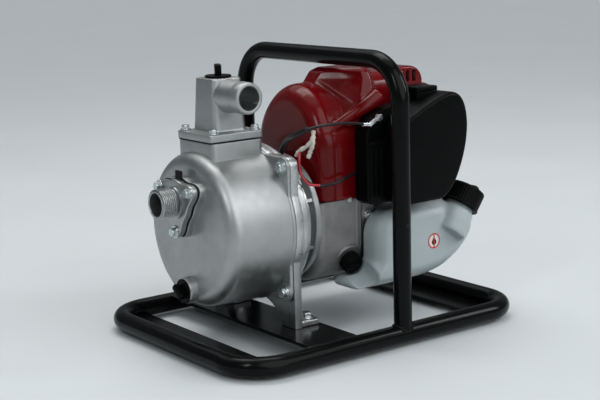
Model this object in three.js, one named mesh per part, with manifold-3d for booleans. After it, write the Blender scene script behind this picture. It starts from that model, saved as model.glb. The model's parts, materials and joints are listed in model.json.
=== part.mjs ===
// One-inch engine-driven water pump in a tubular carrying frame.
// Millimetres, +Z up. The origin lies on the floor under the centre of the frame:
// the suction port points along -X, the engine is at +X and the discharge spout points along -Y.

import * as THREE from 'three';
import { mergeVertices } from 'three/addons/utils/BufferGeometryUtils.js';
import Module from 'manifold-3d';

const wasm = await Module();
wasm.setup();

// ---------------------------------------------------------------- driving dimensions

const GAP = 0.3;                 // clearance between touching pieces
const FOOT = 3;                  // rubber foot standing out below the frame tube

const LOOP_TUBE_R = 11;
const LOOP_HALF_X = 190.9;       // frame loop, to the tube's centreline
const LOOP_HALF_Y = 144.3;
const LOOP_CORNER_R = 46;
const LOOP_Z = FOOT + LOOP_TUBE_R;

const HANDLE_TUBE_R = 10;
const HANDLE_X = 14.6;
const HANDLE_TOP_Z = 311.9;
const HANDLE_BEND_R = 46;

const CROSS_BAR = { x0: -109, x1: -45, z0: 19.5, z1: 23.5 };
const STRIP_X = 163;
const STRIP_WIDTH = 38;
const STRIP = { z0: FOOT + 3, z1: FOOT + 6 };

const AXIS_Z = 133.6;            // pump and crankshaft axis
const DRUM_R = 85;
const FACE_X = -165;
const FACE_FLAT_R = 70;
const WALL = 5;
const FLANGE_X = -88;            // front of the casing's rear flange
const FLANGE_HALF = 79;          // square part of the flange, which bulges to a circle between its corners
const FLANGE_R = 87.5;
const BRACKET_X0 = -83.7;
const BRACKET_PLATE_X1 = -74;
const BRACKET_X1 = -61;
const CORNER_BOLT = 69.5;        // corner bolts, from the axis along Y and Z

const SUCTION_Z = AXIS_Z + 34;
const SUCTION_MOUTH_X = -205;
const PORT_THREAD_R = 16.6;      // G1 pipe thread
const PORT_BORE_R = 12.8;

const TOWER_X = -119.5;
const TOWER_Z0 = 231.4;
const SPOUT_Z = 277.8;
const TOWER_TOP_Z = 296.6;

const HOUSING_X0 = -37.7;        // engine: fan housing, crankcase, covers
const HOUSING_X1 = 22;
const HOUSING_HALF_Y = 62;
const HOUSING_TOP_Z = 153.5;
const COVER_Z0 = 153.8;
const COVER_HALF_Y = 65;
const COVER_FRONT_X = -30;
const COVER_SEAM_X = 50;
const COVER_TOP_Z = 281;
const RECOIL_X0 = 118;
const RECOIL_R = 43;
const SHELL = 3;

// ---------------------------------------------------------------- solids and booleans

function toSolid(geometry) {
  const bare = geometry.index ? geometry.toNonIndexed() : geometry.clone();
  bare.deleteAttribute('normal');
  bare.deleteAttribute('uv');
  const merged = mergeVertices(bare, 1e-4);
  const mesh = new wasm.Mesh({
    numProp: 3,
    vertProperties: new Float32Array(merged.attributes.position.array),
    triVerts: new Uint32Array(merged.index.array),
  });
  mesh.merge();
  return new wasm.Manifold(mesh);
}

function toGeometry(solid) {
  const mesh = solid.getMesh();
  const geometry = new THREE.BufferGeometry();
  geometry.setAttribute('position', new THREE.BufferAttribute(new Float32Array(mesh.vertProperties), 3));
  geometry.setIndex(new THREE.BufferAttribute(new Uint32Array(mesh.triVerts), 1));
  geometry.computeVertexNormals();
  return geometry;
}

function join(...solids) {
  return solids.reduce((sum, solid) => sum.add(solid));
}

function cut(body, ...tools) {
  return tools.reduce((rest, tool) => rest.subtract(tool), body);
}

function box(x0, x1, y0, y1, z0, z1) {
  const geometry = new THREE.BoxGeometry(x1 - x0, y1 - y0, z1 - z0);
  geometry.translate((x0 + x1) / 2, (y0 + y1) / 2, (z0 + z1) / 2);
  return toSolid(geometry);
}

// Turns a geometry made along +Z so that it runs along a direction, from a base point.
function place(geometry, base, direction) {
  const up = new THREE.Vector3(0, 0, 1);
  const turn = new THREE.Quaternion().setFromUnitVectors(up, new THREE.Vector3(...direction).normalize());
  geometry.applyQuaternion(turn);
  geometry.translate(...base);
  return toSolid(geometry);
}

// A body of revolution; profile points are [radius, height] from the base along the direction.
function turned(profile, base, direction, sides = 24) {
  const geometry = new THREE.LatheGeometry(profile.map(([r, h]) => new THREE.Vector2(r, h)), sides);
  geometry.rotateX(Math.PI / 2);
  return place(geometry, base, direction);
}

function rod(radius, base, direction, length, sides = 20) {
  return turned([[0, 0], [radius, 0], [radius, length], [0, length]], base, direction, sides);
}

function rodX(radius, x0, x1, y, z, sides = 20) {
  return rod(radius, [x0, y, z], [1, 0, 0], x1 - x0, sides);
}

// Extrudes an outline drawn in the Y-Z plane along +X.
function slabX(shape, x0, x1, curveSegments = 5) {
  const geometry = new THREE.ExtrudeGeometry(shape, { depth: x1 - x0, bevelEnabled: false, curveSegments });
  geometry.applyMatrix4(new THREE.Matrix4().makeBasis(
    new THREE.Vector3(0, 1, 0), new THREE.Vector3(0, 0, 1), new THREE.Vector3(1, 0, 0)));
  geometry.translate(x0, 0, 0);
  return toSolid(geometry);
}

// Extrudes an outline drawn in the X-Z plane from y1 down to y0.
function slabY(shape, y0, y1, curveSegments = 5) {
  const geometry = new THREE.ExtrudeGeometry(shape, { depth: y1 - y0, bevelEnabled: false, curveSegments });
  geometry.rotateX(Math.PI / 2);
  geometry.translate(0, y1, 0);
  return toSolid(geometry);
}

function slabZ(shape, z0, z1, curveSegments = 4) {
  const geometry = new THREE.ExtrudeGeometry(shape, { depth: z1 - z0, bevelEnabled: false, curveSegments });
  geometry.translate(0, 0, z0);
  return toSolid(geometry);
}

// A rounded rectangle between two corners.
function roundedRect(a0, b0, a1, b1, radius) {
  const shape = new THREE.Shape();
  shape.moveTo(a0 + radius, b0);
  shape.lineTo(a1 - radius, b0);
  shape.absarc(a1 - radius, b0 + radius, radius, -Math.PI / 2, 0);
  shape.lineTo(a1, b1 - radius);
  shape.absarc(a1 - radius, b1 - radius, radius, 0, Math.PI / 2);
  shape.lineTo(a0 + radius, b1);
  shape.absarc(a0 + radius, b1 - radius, radius, Math.PI / 2, Math.PI);
  shape.lineTo(a0, b0 + radius);
  shape.absarc(a0 + radius, b0 + radius, radius, Math.PI, 1.5 * Math.PI);
  return shape;
}

// A route through hand-placed points, with one section at each point.
class Route extends THREE.Curve {
  constructor(points) {
    super();
    this.points = points.map((p) => new THREE.Vector3(...p));
  }
  getPoint(t) {
    const at = t * (this.points.length - 1);
    const low = Math.min(Math.floor(at), this.points.length - 2);
    return this.points[low].clone().lerp(this.points[low + 1], at - low);
  }
  getPointAt(t) {
    return this.getPoint(t);
  }
  getTangentAt(t) {
    const step = 0.5 / (this.points.length - 1);
    const before = this.getPoint(Math.max(t - step, 0));
    return this.getPoint(Math.min(t + step, 1)).sub(before).normalize();
  }
}

function tube(points, radius, sides = 12) {
  const corners = [];
  for (let i = 0; i < sides; i += 1) {
    const angle = (2 * Math.PI * i) / sides;
    corners.push(new THREE.Vector2(radius * Math.cos(angle), radius * Math.sin(angle)));
  }
  const geometry = new THREE.ExtrudeGeometry(new THREE.Shape(corners), {
    steps: points.length - 1, bevelEnabled: false, extrudePath: new Route(points),
  });
  return toSolid(geometry);
}

// Evenly spaced points on a smooth curve through a few chosen ones.
function smooth(points, count) {
  const curve = new THREE.CatmullRomCurve3(points.map((p) => new THREE.Vector3(...p)), false, 'centripetal');
  return curve.getSpacedPoints(count).map((p) => p.toArray());
}

// A torus whose four quarters are moved apart, which leaves straight tubes between them.
function loopTube(halfX, halfY, cornerR, tubeR, z, sides = 16, steps = 24) {
  const geometry = new THREE.TorusGeometry(cornerR, tubeR, sides, steps);
  geometry.rotateZ(Math.PI / steps);
  const nearest = cornerR * Math.cos(Math.PI / steps);
  const position = geometry.attributes.position;
  for (let i = 0; i < position.count; i += 1) {
    const x = position.getX(i);
    const y = position.getY(i);
    position.setXY(i, x + Math.sign(x) * (halfX - nearest), y + Math.sign(y) * (halfY - nearest));
  }
  geometry.translate(0, 0, z);
  return toSolid(geometry);
}

// A hexagon-head bolt: the head stands on the base point and the shank runs the other way.
function hexBolt(base, direction, headR, headH, shankR, shankL) {
  const head = new THREE.CylinderGeometry(headR, headR, headH, 6);
  head.rotateX(Math.PI / 2);
  head.translate(0, 0, headH / 2);
  const washer = rod(headR * 1.12, base, direction, 1, 10);
  const away = direction.map((c) => -c);
  const shankBase = base.map((c, i) => c + direction[i] * 0.5);
  const lifted = base.map((c, i) => c + direction[i] * 0.8);
  return join(place(head, lifted, direction), washer, rod(shankR, shankBase, away, shankL, 8));
}

// ---------------------------------------------------------------- materials and scene graph

function finish(color, roughness, metalness) {
  return new THREE.MeshStandardMaterial({ color, roughness, metalness });
}

const MATERIAL = {
  blackPaint: finish(0x0c0c0d, 0.25, 0.2),
  castSilver: finish(0xa9aeae, 0.42, 0.85),
  rawAluminium: finish(0x9a9d9c, 0.5, 0.85),
  greyCasting: finish(0x7d7b79, 0.65, 0.6),
  zinc: finish(0xb4bcbc, 0.3, 0.9),
  steel: finish(0x8c8f92, 0.35, 0.9),
  redPlastic: finish(0x7a0a0d, 0.22, 0.0),
  blackPlastic: finish(0x141415, 0.45, 0.0),
  rubber: finish(0x0a0a0a, 0.8, 0.0),
  tankPlastic: finish(0xd4dadc, 0.4, 0.0),
  chrome: finish(0xc8cccf, 0.12, 1.0),
  heatSteel: finish(0x5f5a55, 0.5, 0.8),
  redWire: finish(0xb3202c, 0.5, 0.0),
  foam: finish(0x2a2c2e, 0.95, 0.0),
};

const pump = new THREE.Group();
pump.name = 'engine_driven_water_pump';

function piece(name, solid, material) {
  const mesh = new THREE.Mesh(toGeometry(solid), material);
  mesh.name = name;
  pump.add(mesh);
}

// ---------------------------------------------------------------- carrying frame

function loopEnvelope() {
  return loopTube(LOOP_HALF_X, LOOP_HALF_Y, LOOP_CORNER_R, LOOP_TUBE_R + GAP, LOOP_Z);
}

function handlePoints() {
  const bendSteps = 7;
  const points = [[HANDLE_X, -LOOP_HALF_Y, LOOP_Z]];
  for (const side of [-1, 1]) {
    const centreY = side * (LOOP_HALF_Y - HANDLE_BEND_R);
    const centreZ = HANDLE_TOP_Z - HANDLE_BEND_R;
    for (let i = 0; i <= bendSteps; i += 1) {
      const turn = (Math.PI / 2) * (i / bendSteps);
      const angle = side < 0 ? turn : Math.PI / 2 - turn;
      const y = centreY + side * HANDLE_BEND_R * Math.cos(angle);
      points.push([HANDLE_X, y, centreZ + HANDLE_BEND_R * Math.sin(angle)]);
    }
  }
  points.push([HANDLE_X, LOOP_HALF_Y, LOOP_Z]);
  return points;
}

function buildFrame() {
  piece('base_loop', loopTube(LOOP_HALF_X, LOOP_HALF_Y, LOOP_CORNER_R, LOOP_TUBE_R, LOOP_Z),
    MATERIAL.blackPaint);
  piece('handle_tube', cut(tube(handlePoints(), HANDLE_TUBE_R, 16), loopEnvelope()), MATERIAL.blackPaint);
  const boltHoles = [-1, 1].map((side) => rod(3.4, [FOOT_BOLT_X, side * FOOT_BOLT_Y, 15], [0, 0, 1], 12, 8));
  const bar = box(CROSS_BAR.x0, CROSS_BAR.x1, -LOOP_HALF_Y, LOOP_HALF_Y, CROSS_BAR.z0, CROSS_BAR.z1);
  piece('cross_bar', cut(bar, loopEnvelope(), ...boltHoles), MATERIAL.blackPaint);
  for (const [end, name] of [[-1, 'suction_end'], [1, 'engine_end']]) {
    const x = end * STRIP_X;
    const half = STRIP_WIDTH / 2;
    const strip = box(x - half, x + half, -LOOP_HALF_Y + 2, LOOP_HALF_Y - 2, STRIP.z0, STRIP.z1);
    piece(`${name}_strip`, insideOf(cut(strip, loopEnvelope())), MATERIAL.blackPaint);
    for (const [side, hand] of [[-1, 'near'], [1, 'far']]) {
      const pad = slabZ(roundedRect(x - 15, side * 108 - 12, x + 15, side * 108 + 12, 5), 0, STRIP.z0 - GAP, 3);
      piece(`${name}_${hand}_foot`, pad, MATERIAL.rubber);
    }
  }
}

// Keeps the part of a bar that lies inside the frame loop.
function insideOf(solid) {
  const outline = roundedRect(-LOOP_HALF_X, -LOOP_HALF_Y, LOOP_HALF_X, LOOP_HALF_Y, LOOP_CORNER_R);
  return solid.intersect(slabZ(outline, 0, LOOP_Z * 2));
}

// ---------------------------------------------------------------- pump, wet end

const FOOT_BOLT_X = -58.5;
const FOOT_BOLT_Y = 66;
const BOSS_X = -172.6;           // front of the suction boss on the casing
const CORNERS = [[-1, -1], [-1, 1], [1, -1], [1, 1]];
const SUCTION_BOLTS = [[28.5, 14], [-31, 14], [0, -32.5]];   // Y, Z from the suction axis

// Three bolt lobes blended round the suction port, drawn in the Y-Z plane.
function lobedOutline(grow = 0) {
  const shape = new THREE.Shape();
  const steps = 42;
  for (let i = 0; i < steps; i += 1) {
    const angle = (2 * Math.PI * i) / steps;
    let reach = 24.5;
    for (const [y, z] of SUCTION_BOLTS) {
      const away = Math.atan2(z, y) - angle;
      const near = Math.max(Math.cos(away), 0);
      reach += (Math.hypot(y, z) - 18.5) * near ** 14;
    }
    const radius = reach + grow;
    const point = [radius * Math.cos(angle), SUCTION_Z + radius * Math.sin(angle)];
    if (i === 0) shape.moveTo(...point);
    else shape.lineTo(...point);
  }
  return shape;
}

function drumProfile(inset, steps) {
  const corner = DRUM_R - FACE_FLAT_R;
  const depth = FACE_X + inset;
  const points = [[0, depth]];
  for (let i = 0; i <= steps; i += 1) {
    const angle = (Math.PI / 2) * (i / steps);
    const radius = FACE_FLAT_R + (corner - inset) * Math.sin(angle);
    points.push([radius, depth + corner * (1 - Math.cos(angle))]);
  }
  return points;
}

function drum(inset, endX, sides, steps) {
  const profile = drumProfile(inset, steps);
  profile.push([DRUM_R + 1.5 - inset, endX], [0, endX]);
  return turned(profile, [0, 0, AXIS_Z], [1, 0, 0], sides);
}

function boltHolesX(x0, x1, radius) {
  return CORNERS.map(([sy, sz]) => rodX(radius, x0, x1, sy * CORNER_BOLT, AXIS_Z + sz * CORNER_BOLT, 8));
}

function flangeSquare(x0, x1) {
  const low = AXIS_Z - FLANGE_HALF;
  return slabX(roundedRect(-FLANGE_HALF, low, FLANGE_HALF, AXIS_Z + FLANGE_HALF, 11), x0, x1, 3);
}

function buildCasing() {
  const flange = join(flangeSquare(FLANGE_X, BRACKET_X0 - GAP),
    rodX(FLANGE_R, FLANGE_X, BRACKET_X0 - GAP, 0, AXIS_Z, 40));
  const neck = slabZ(roundedRect(-152.5, -34.6, -86.5, 34.6, 6), AXIS_Z + 60, 229.9, 4);
  const boss = slabX(lobedOutline(1.5), BOSS_X, FACE_X + 2);
  const drainBoss = rodX(14, -174, -150, 0, DRAIN_Z);
  const body = join(drum(0, FLANGE_X + 1, 40, 4), flange, neck, boss, drainBoss);
  const hollow = drum(WALL, BRACKET_X0 + 1, 28, 2);
  const neckHollow = slabZ(roundedRect(-140, -22, -99, 22, 6), AXIS_Z + 40, 231, 1);
  const suctionBore = rodX(PORT_BORE_R + 1, BOSS_X - 1, FACE_X + WALL + 2, 0, SUCTION_Z);
  const drainBore = rodX(DRAIN_SHANK_R + 0.4, -175, -150, 0, DRAIN_Z, 16);
  const suctionHoles = SUCTION_BOLTS.map(([y, z]) => rodX(3.3, BOSS_X - 1, -162.5, y, SUCTION_Z + z, 8));
  const neckHoles = towerBoltPlaces().map(([x, y]) => rod(2.4, [x, y, 216], [0, 0, 1], 20, 8));
  const cornerHoles = boltHolesX(FLANGE_X - 3, BRACKET_X0, 3.3);
  const seats = boltHolesX(FLANGE_X - 14, FLANGE_X, 8.4);
  piece('pump_casing', cut(body, hollow, neckHollow, suctionBore, drainBore, ...suctionHoles,
    ...neckHoles, ...cornerHoles, ...seats), MATERIAL.castSilver);
}

// Two legs with an arch between them, drawn in the Y-Z plane.
function legOutline() {
  const half = 80;
  const inner = 54;
  const foot = CROSS_BAR.z1 + GAP;
  const archTop = AXIS_Z - FLANGE_R + 6;
  const shape = new THREE.Shape();
  shape.moveTo(-half, foot);
  shape.lineTo(-inner, foot);
  shape.quadraticCurveTo(-inner + 6, archTop, 0, archTop);
  shape.quadraticCurveTo(inner - 6, archTop, inner, foot);
  shape.lineTo(half, foot);
  shape.lineTo(half, AXIS_Z);
  shape.lineTo(-half, AXIS_Z);
  return shape;
}

function buildBracket() {
  const plate = join(flangeSquare(BRACKET_X0, BRACKET_PLATE_X1), slabX(legOutline(), BRACKET_X0, BRACKET_PLATE_X1, 6),
    rodX(FLANGE_R, BRACKET_X0, BRACKET_X1, 0, AXIS_Z, 40));
  const feet = [-1, 1].map((side) => {
    const [y0, y1] = side < 0 ? [-78, -54] : [54, 78];
    return slabZ(roundedRect(BRACKET_X0, y0, -48, y1, 4), CROSS_BAR.z1 + GAP, CROSS_BAR.z1 + GAP + 6, 2);
  });
  const footHoles = [-1, 1].map((side) =>
    rod(3.4, [FOOT_BOLT_X, side * FOOT_BOLT_Y, 20], [0, 0, 1], 14, 8));
  const sealSeat = rodX(20, BRACKET_X0 - 1, BRACKET_X1 + 1, 0, AXIS_Z, 24);
  const rearRecess = rodX(FLANGE_R - 18, BRACKET_PLATE_X1 + 4, BRACKET_X1 + 1, 0, AXIS_Z, 32);
  piece('mounting_bracket', cut(join(plate, ...feet), sealSeat, rearRecess, ...footHoles,
    ...boltHolesX(BRACKET_X0 - 1, BRACKET_PLATE_X1 + 1, 3.3)), MATERIAL.rawAluminium);

  CORNERS.forEach(([sy, sz], i) => {
    const base = [FLANGE_X - 0.1 - GAP, sy * CORNER_BOLT, AXIS_Z + sz * CORNER_BOLT];
    piece(`corner_bolt_${i + 1}`, hexBolt(base, [-1, 0, 0], 6.2, 5, 3, 16), MATERIAL.zinc);
  });
  [-1, 1].forEach((side, i) => {
    const base = [FOOT_BOLT_X, side * FOOT_BOLT_Y, CROSS_BAR.z1 + 2 * GAP + 6];
    piece(`foot_bolt_${i + 1}`, hexBolt(base, [0, 0, 1], 6.6, 5, 3, 13), MATERIAL.zinc);
  });
}

// Impeller chamber: a cup with the suction eye in its front wall and a slot for the outflow on top.
function buildVolute() {
  const x0 = -124;
  const x1 = BRACKET_X0 - GAP;
  const profile = [[15, 0], [50, 0], [50, x1 - x0], [46.5, x1 - x0], [46.5, 4], [15, 4], [15, 0]];
  const cup = turned(profile, [x0, 0, AXIS_Z], [1, 0, 0], 28);
  const outlet = box(-118, -92, -16, 16, AXIS_Z + 30, AXIS_Z + 60);
  piece('volute', cut(cup, outlet), MATERIAL.greyCasting);
}

function buildImpeller() {
  const backX = -104;
  const vanes = [];
  const vaneCount = 6;
  for (let i = 0; i < vaneCount; i += 1) {
    const turn = (2 * Math.PI * i) / vaneCount;
    const points = [];
    for (let s = 0; s <= 5; s += 1) {
      const radius = 15 + 27 * (s / 5);
      const angle = turn - 0.9 * (s / 5);
      points.push(new THREE.Vector2(radius * Math.cos(angle), AXIS_Z + radius * Math.sin(angle)));
    }
    const outer = points.map((p) => {
      const away = new THREE.Vector2(p.x, p.y - AXIS_Z).rotateAround(new THREE.Vector2(), 0.09);
      return new THREE.Vector2(away.x, away.y + AXIS_Z);
    });
    vanes.push(slabX(new THREE.Shape([...points, ...outer.reverse()]), backX - 12, backX + 1));
  }
  const disc = rodX(43, backX, backX + 4, 0, AXIS_Z, 28);
  const hub = rodX(11, backX - 8, backX + 8, 0, AXIS_Z, 16);
  const bore = rodX(SHAFT_R + GAP, backX - 14, backX + 12, 0, AXIS_Z, 16);
  piece('impeller', cut(join(disc, hub, ...vanes), bore), MATERIAL.greyCasting);
}

const SHAFT_R = 6;
const DRAIN_Z = 68;
const DRAIN_SHANK_R = 8;

function buildSeal() {
  const profile = [[SHAFT_R + 1.6, 0], [15, 0], [15, 6], [19.6, 6], [19.6, 14], [SHAFT_R + 1.6, 14],
    [SHAFT_R + 1.6, 0]];
  piece('shaft_seal', turned(profile, [-90.5, 0, AXIS_Z], [1, 0, 0], 20), MATERIAL.rubber);
}

function buildSuctionPort() {
  const threadX1 = -184.5;
  const collarStart = threadX1 - SUCTION_MOUTH_X;
  const profile = [[PORT_BORE_R, 0], [PORT_THREAD_R - 1, 0], [PORT_THREAD_R, 1],
    [PORT_THREAD_R, collarStart - 1.5], [PORT_THREAD_R - 1.2, collarStart],
    [PORT_THREAD_R + 1.4, collarStart + 0.6], [PORT_THREAD_R + 1.4, collarStart + 4.5],
    [PORT_BORE_R, collarStart + 4.5], [PORT_BORE_R, 0]];
  const pipe = turned(profile, [SUCTION_MOUTH_X, 0, SUCTION_Z], [1, 0, 0]);
  const bore = rodX(PORT_BORE_R, -190, -170, 0, SUCTION_Z, 24);
  const holes = SUCTION_BOLTS.map(([y, z]) => rodX(3.2, -190, -170, y, SUCTION_Z + z, 8));
  const flange = cut(slabX(lobedOutline(), -181.5, -174.6), bore, ...holes);
  piece('suction_flange', join(flange, pipe), MATERIAL.castSilver);

  const tab = box(-174.3, -172.9, -5, 5, SUCTION_Z + 20, SUCTION_Z + 33);
  const sheet = join(slabX(lobedOutline(0.8), -174.3, -172.9), tab);
  piece('suction_gasket', cut(sheet, bore, ...holes), MATERIAL.rubber);

  SUCTION_BOLTS.forEach(([y, z], i) => {
    const bolt = hexBolt([-181.5 - GAP, y, SUCTION_Z + z], [-1, 0, 0], 5.6, 4.6, 2.6, 17);
    piece(`suction_bolt_${i + 1}`, bolt, MATERIAL.zinc);
  });

  const flapX = FACE_X + WALL + 0.4;
  const flap = join(rodX(PORT_BORE_R + 3.5, flapX, flapX + 2.5, 0, SUCTION_Z),
    box(flapX, flapX + 2.5, -8, 8, SUCTION_Z, FLAP_HINGE_Z),
    rodX(9, flapX, flapX + 5, 0, SUCTION_Z, 16));
  piece('check_valve_flap', flap, MATERIAL.rubber);
}

const FLAP_HINGE_Z = SUCTION_Z + 20;

function towerBoltPlaces() {
  return CORNERS.map(([sx, sy]) => [TOWER_X + sx * 26.8, sy * 27.6]);
}

// Tapered square tower; the side spout and the filler opening on top run into its hollow.
function buildTower() {
  const rise = TOWER_TOP_Z - TOWER_Z0 - 8;
  const taper = (inset) => {
    const geometry = new THREE.ExtrudeGeometry(
      roundedRect(-22 + inset, -22 + inset, 22 - inset, 22 - inset, 8 - inset / 2),
      { depth: rise + 1, bevelEnabled: false, curveSegments: 3 });
    const position = geometry.attributes.position;
    for (let i = 0; i < position.count; i += 1) {
      const shrink = 1 - 0.136 * (position.getZ(i) / rise);
      position.setXY(i, position.getX(i) * shrink, position.getY(i) * shrink);
    }
    geometry.translate(TOWER_X, 0, TOWER_Z0 + 7);
    return toSolid(geometry);
  };
  const flange = slabZ(roundedRect(TOWER_X - 34.5, -33.5, TOWER_X + 34.5, 33.5, 4), TOWER_Z0, TOWER_Z0 + 8, 2);
  const spoutProfile = [[0, 0], [18.2, 0], [16, 26], [16, 26.5], [17.2, 27.4], [16.8, 40.9], [15.9, 41.9],
    [0, 41.9]];
  const spout = turned(spoutProfile, [TOWER_X, -17, SPOUT_Z], [0, -1, 0]);
  const spoutBore = rod(PORT_BORE_R, [TOWER_X, -10, SPOUT_Z], [0, -1, 0], 60);
  const waterway = slabZ(roundedRect(TOWER_X - 15.5, -15.5, TOWER_X + 15.5, 15.5, 6), TOWER_Z0 - 1, 289, 2);
  const fillerHole = rod(FILLER_SHANK_R + 0.4, [TOWER_X, 0, 286], [0, 0, 1], 14);
  const holes = towerBoltPlaces().map(([x, y]) => rod(2.8, [x, y, TOWER_Z0 - 2], [0, 0, 1], 14, 8));
  piece('discharge_tower', cut(join(flange, taper(0), spout), spoutBore, waterway, fillerHole, ...holes),
    MATERIAL.castSilver);

  const gasket = slabZ(roundedRect(TOWER_X - 34, -33.2, TOWER_X + 34, 33.2, 4), 230.2, 231.1, 2);
  const opening = slabZ(roundedRect(-140, -22, -99, 22, 6), 229, 232, 1);
  piece('discharge_gasket', cut(gasket, opening, ...holes), MATERIAL.rubber);

  towerBoltPlaces().forEach(([x, y], i) => {
    piece(`tower_bolt_${i + 1}`, hexBolt([x, y, TOWER_Z0 + 8 + GAP], [0, 0, 1], 4.6, 4, 2.1, 20), MATERIAL.zinc);
  });
}

const FILLER_SHANK_R = 9;

// A screw plug with a flat wing for the fingers, along a direction from its seat.
function wingPlug(seat, direction, discR, wing, shankR, shankL) {
  const disc = turned([[0, 0], [discR, 0], [discR, 2.6], [discR - 1, 3.6], [0, 3.6]], seat, direction, 20);
  const shape = roundedRect(-wing.width / 2, -1, wing.width / 2, wing.height, 3);
  const blade = new THREE.ExtrudeGeometry(shape, { depth: wing.thick, bevelEnabled: false, curveSegments: 2 });
  blade.rotateX(Math.PI / 2);
  blade.translate(0, wing.thick / 2, 3);
  const away = direction.map((c) => -c);
  const inside = seat.map((c, i) => c + direction[i] * 0.5);
  return join(disc, place(blade, seat, direction), rod(shankR, inside, away, shankL, 14));
}

function buildPlugs() {
  piece('filler_plug', wingPlug([TOWER_X, 0, TOWER_TOP_Z + 0.4], [0, 0, 1], 14.5,
    { width: 22, height: 10, thick: 7 }, FILLER_SHANK_R, 9), MATERIAL.blackPlastic);
  piece('drain_plug', wingPlug([-174 - 0.4, 0, DRAIN_Z], [-1, 0, 0], 13.5,
    { width: 21, height: 10, thick: 6.5 }, DRAIN_SHANK_R, 16), MATERIAL.blackPlastic);
}

// ---------------------------------------------------------------- engine

function engineOutline(half, bottom, top, radius) {
  const shape = new THREE.Shape();
  shape.moveTo(-half + radius, bottom);
  shape.lineTo(half - radius, bottom);
  shape.absarc(half - radius, bottom + radius, radius, -Math.PI / 2, 0);
  shape.lineTo(half, top);
  shape.lineTo(-half, top);
  shape.lineTo(-half, bottom + radius);
  shape.absarc(-half + radius, bottom + radius, radius, Math.PI, 1.5 * Math.PI);
  return shape;
}

const FLYWHEEL_R = 52;
const MAIN_BORE_R = 9.5;

function buildAdapter() {
  const length = HOUSING_X0 - GAP - (BRACKET_X1 + GAP);
  const profile = [[24, -6], [69, -6], [69, 5], [62, 6], [62, length - 8], [72, length - 7], [72, length],
    [55, length], [54, 6], [24, 0], [24, -6]];
  piece('engine_adapter', turned(profile, [BRACKET_X1 + GAP, 0, AXIS_Z], [1, 0, 0], 32), MATERIAL.rawAluminium);
}

function buildFanHousing() {
  const body = slabX(engineOutline(HOUSING_HALF_Y, 58, HOUSING_TOP_Z, 46), HOUSING_X0, HOUSING_X1, 5);
  const cavity = rodX(FLYWHEEL_R + 2.5, HOUSING_X0 - 1, HOUSING_X1 - 8, 0, AXIS_Z, 32);
  const upflow = box(HOUSING_X0 + 8, HOUSING_X1 - 8, -40, 40, AXIS_Z, HOUSING_TOP_Z + 1);
  const shaftHole = rodX(MAIN_BORE_R, HOUSING_X0, HOUSING_X1 + 1, 0, AXIS_Z, 16);
  piece('fan_housing', cut(body, cavity, upflow, shaftHole), MATERIAL.greyCasting);
}

const OIL_CAP = { at: [9, -57.8, 83.5], direction: [0, -0.9, -0.44] };

function buildCrankcase() {
  const bulge = slabX(engineOutline(HOUSING_HALF_Y - 2, 60, HOUSING_TOP_Z, 46), HOUSING_X1 + GAP, COVER_SEAM_X, 5);
  const block = slabX(roundedRect(-38, 84, 38, HOUSING_TOP_Z, 10), COVER_SEAM_X - 1, 110, 3);
  const lug = box(36, 48, -6, 6, 45.6, 63);
  const shaftHole = rodX(MAIN_BORE_R, HOUSING_X1 - 1, 112, 0, AXIS_Z, 16);
  const chamber = rodX(28, 44, 98, 0, AXIS_Z);
  const throat = box(46, 96, -17, 17, AXIS_Z, HOUSING_TOP_Z + 1);
  piece('crankcase', cut(join(bulge, block, lug), shaftHole, chamber, throat), MATERIAL.greyCasting);
}

function buildRotor() {
  const shaft = join(
    rodX(SHAFT_R, -114, -50, 0, AXIS_Z, 16),
    rodX(8, -50.5, 128, 0, AXIS_Z, 16),
    rodX(18.5, 52, 60, 0, AXIS_Z),
    rodX(18.5, 80, 88, 0, AXIS_Z));
  piece('crankshaft', shaft, MATERIAL.steel);

  const fins = [];
  const finCount = 12;
  for (let i = 0; i < finCount; i += 1) {
    const fin = new THREE.BoxGeometry(16, 2.4, 20);
    fin.translate(-16, 0, 40);
    fin.rotateX((2 * Math.PI * i) / finCount);
    fin.translate(0, 0, AXIS_Z);
    fins.push(toSolid(fin));
  }
  const disc = rodX(FLYWHEEL_R, -9, 4, 0, AXIS_Z, 28);
  const hub = rodX(16, -28, 8, 0, AXIS_Z, 16);
  const bore = rodX(8 + GAP, -32, 12, 0, AXIS_Z, 16);
  piece('flywheel_fan', cut(join(disc, hub, ...fins), bore), MATERIAL.greyCasting);
}

// Air-cooled barrel and head in one casting, with an intake stub at -Y and an exhaust stub at +Y.
function buildCylinder() {
  const fins = [];
  const finCount = 5;
  for (let i = 0; i < finCount; i += 1) {
    const z = 172 + i * 16;
    fins.push(slabZ(roundedRect(40, -31, 102, 31, 8), z, z + 4, 1));
  }
  const barrel = rod(24, [71, 0, HOUSING_TOP_Z + GAP], [0, 0, 1], 90);
  const base = slabZ(roundedRect(46, -26, 96, 26, 6), HOUSING_TOP_Z + GAP, 160, 1);
  const bore = rod(19.6, [71, 0, 150], [0, 0, 1], 80);
  const intake = box(60, 82, -38, 0, 196, 214);
  const exhaust = box(60, 82, 0, 46, 196, 214);
  piece('cylinder', cut(join(barrel, base, ...fins, intake, exhaust), bore), MATERIAL.greyCasting);
  const crown = [[0, 0], [19.3, 0], [19.3, 22], [0, 22]];
  piece('piston', turned(crown, [71, 0, 198], [0, 0, 1], 20), MATERIAL.rawAluminium);
}

function coverOutline(inset) {
  const half = COVER_HALF_Y - inset;
  const top = COVER_TOP_Z - inset;
  const shape = new THREE.Shape();
  shape.moveTo(-half, COVER_Z0);
  shape.lineTo(half, COVER_Z0);
  shape.lineTo(half, 212);
  shape.bezierCurveTo(half, 246, 30 - inset, top, 0, top);
  shape.bezierCurveTo(-30 + inset, top, -half, 246, -half, 212);
  return shape;
}

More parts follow.
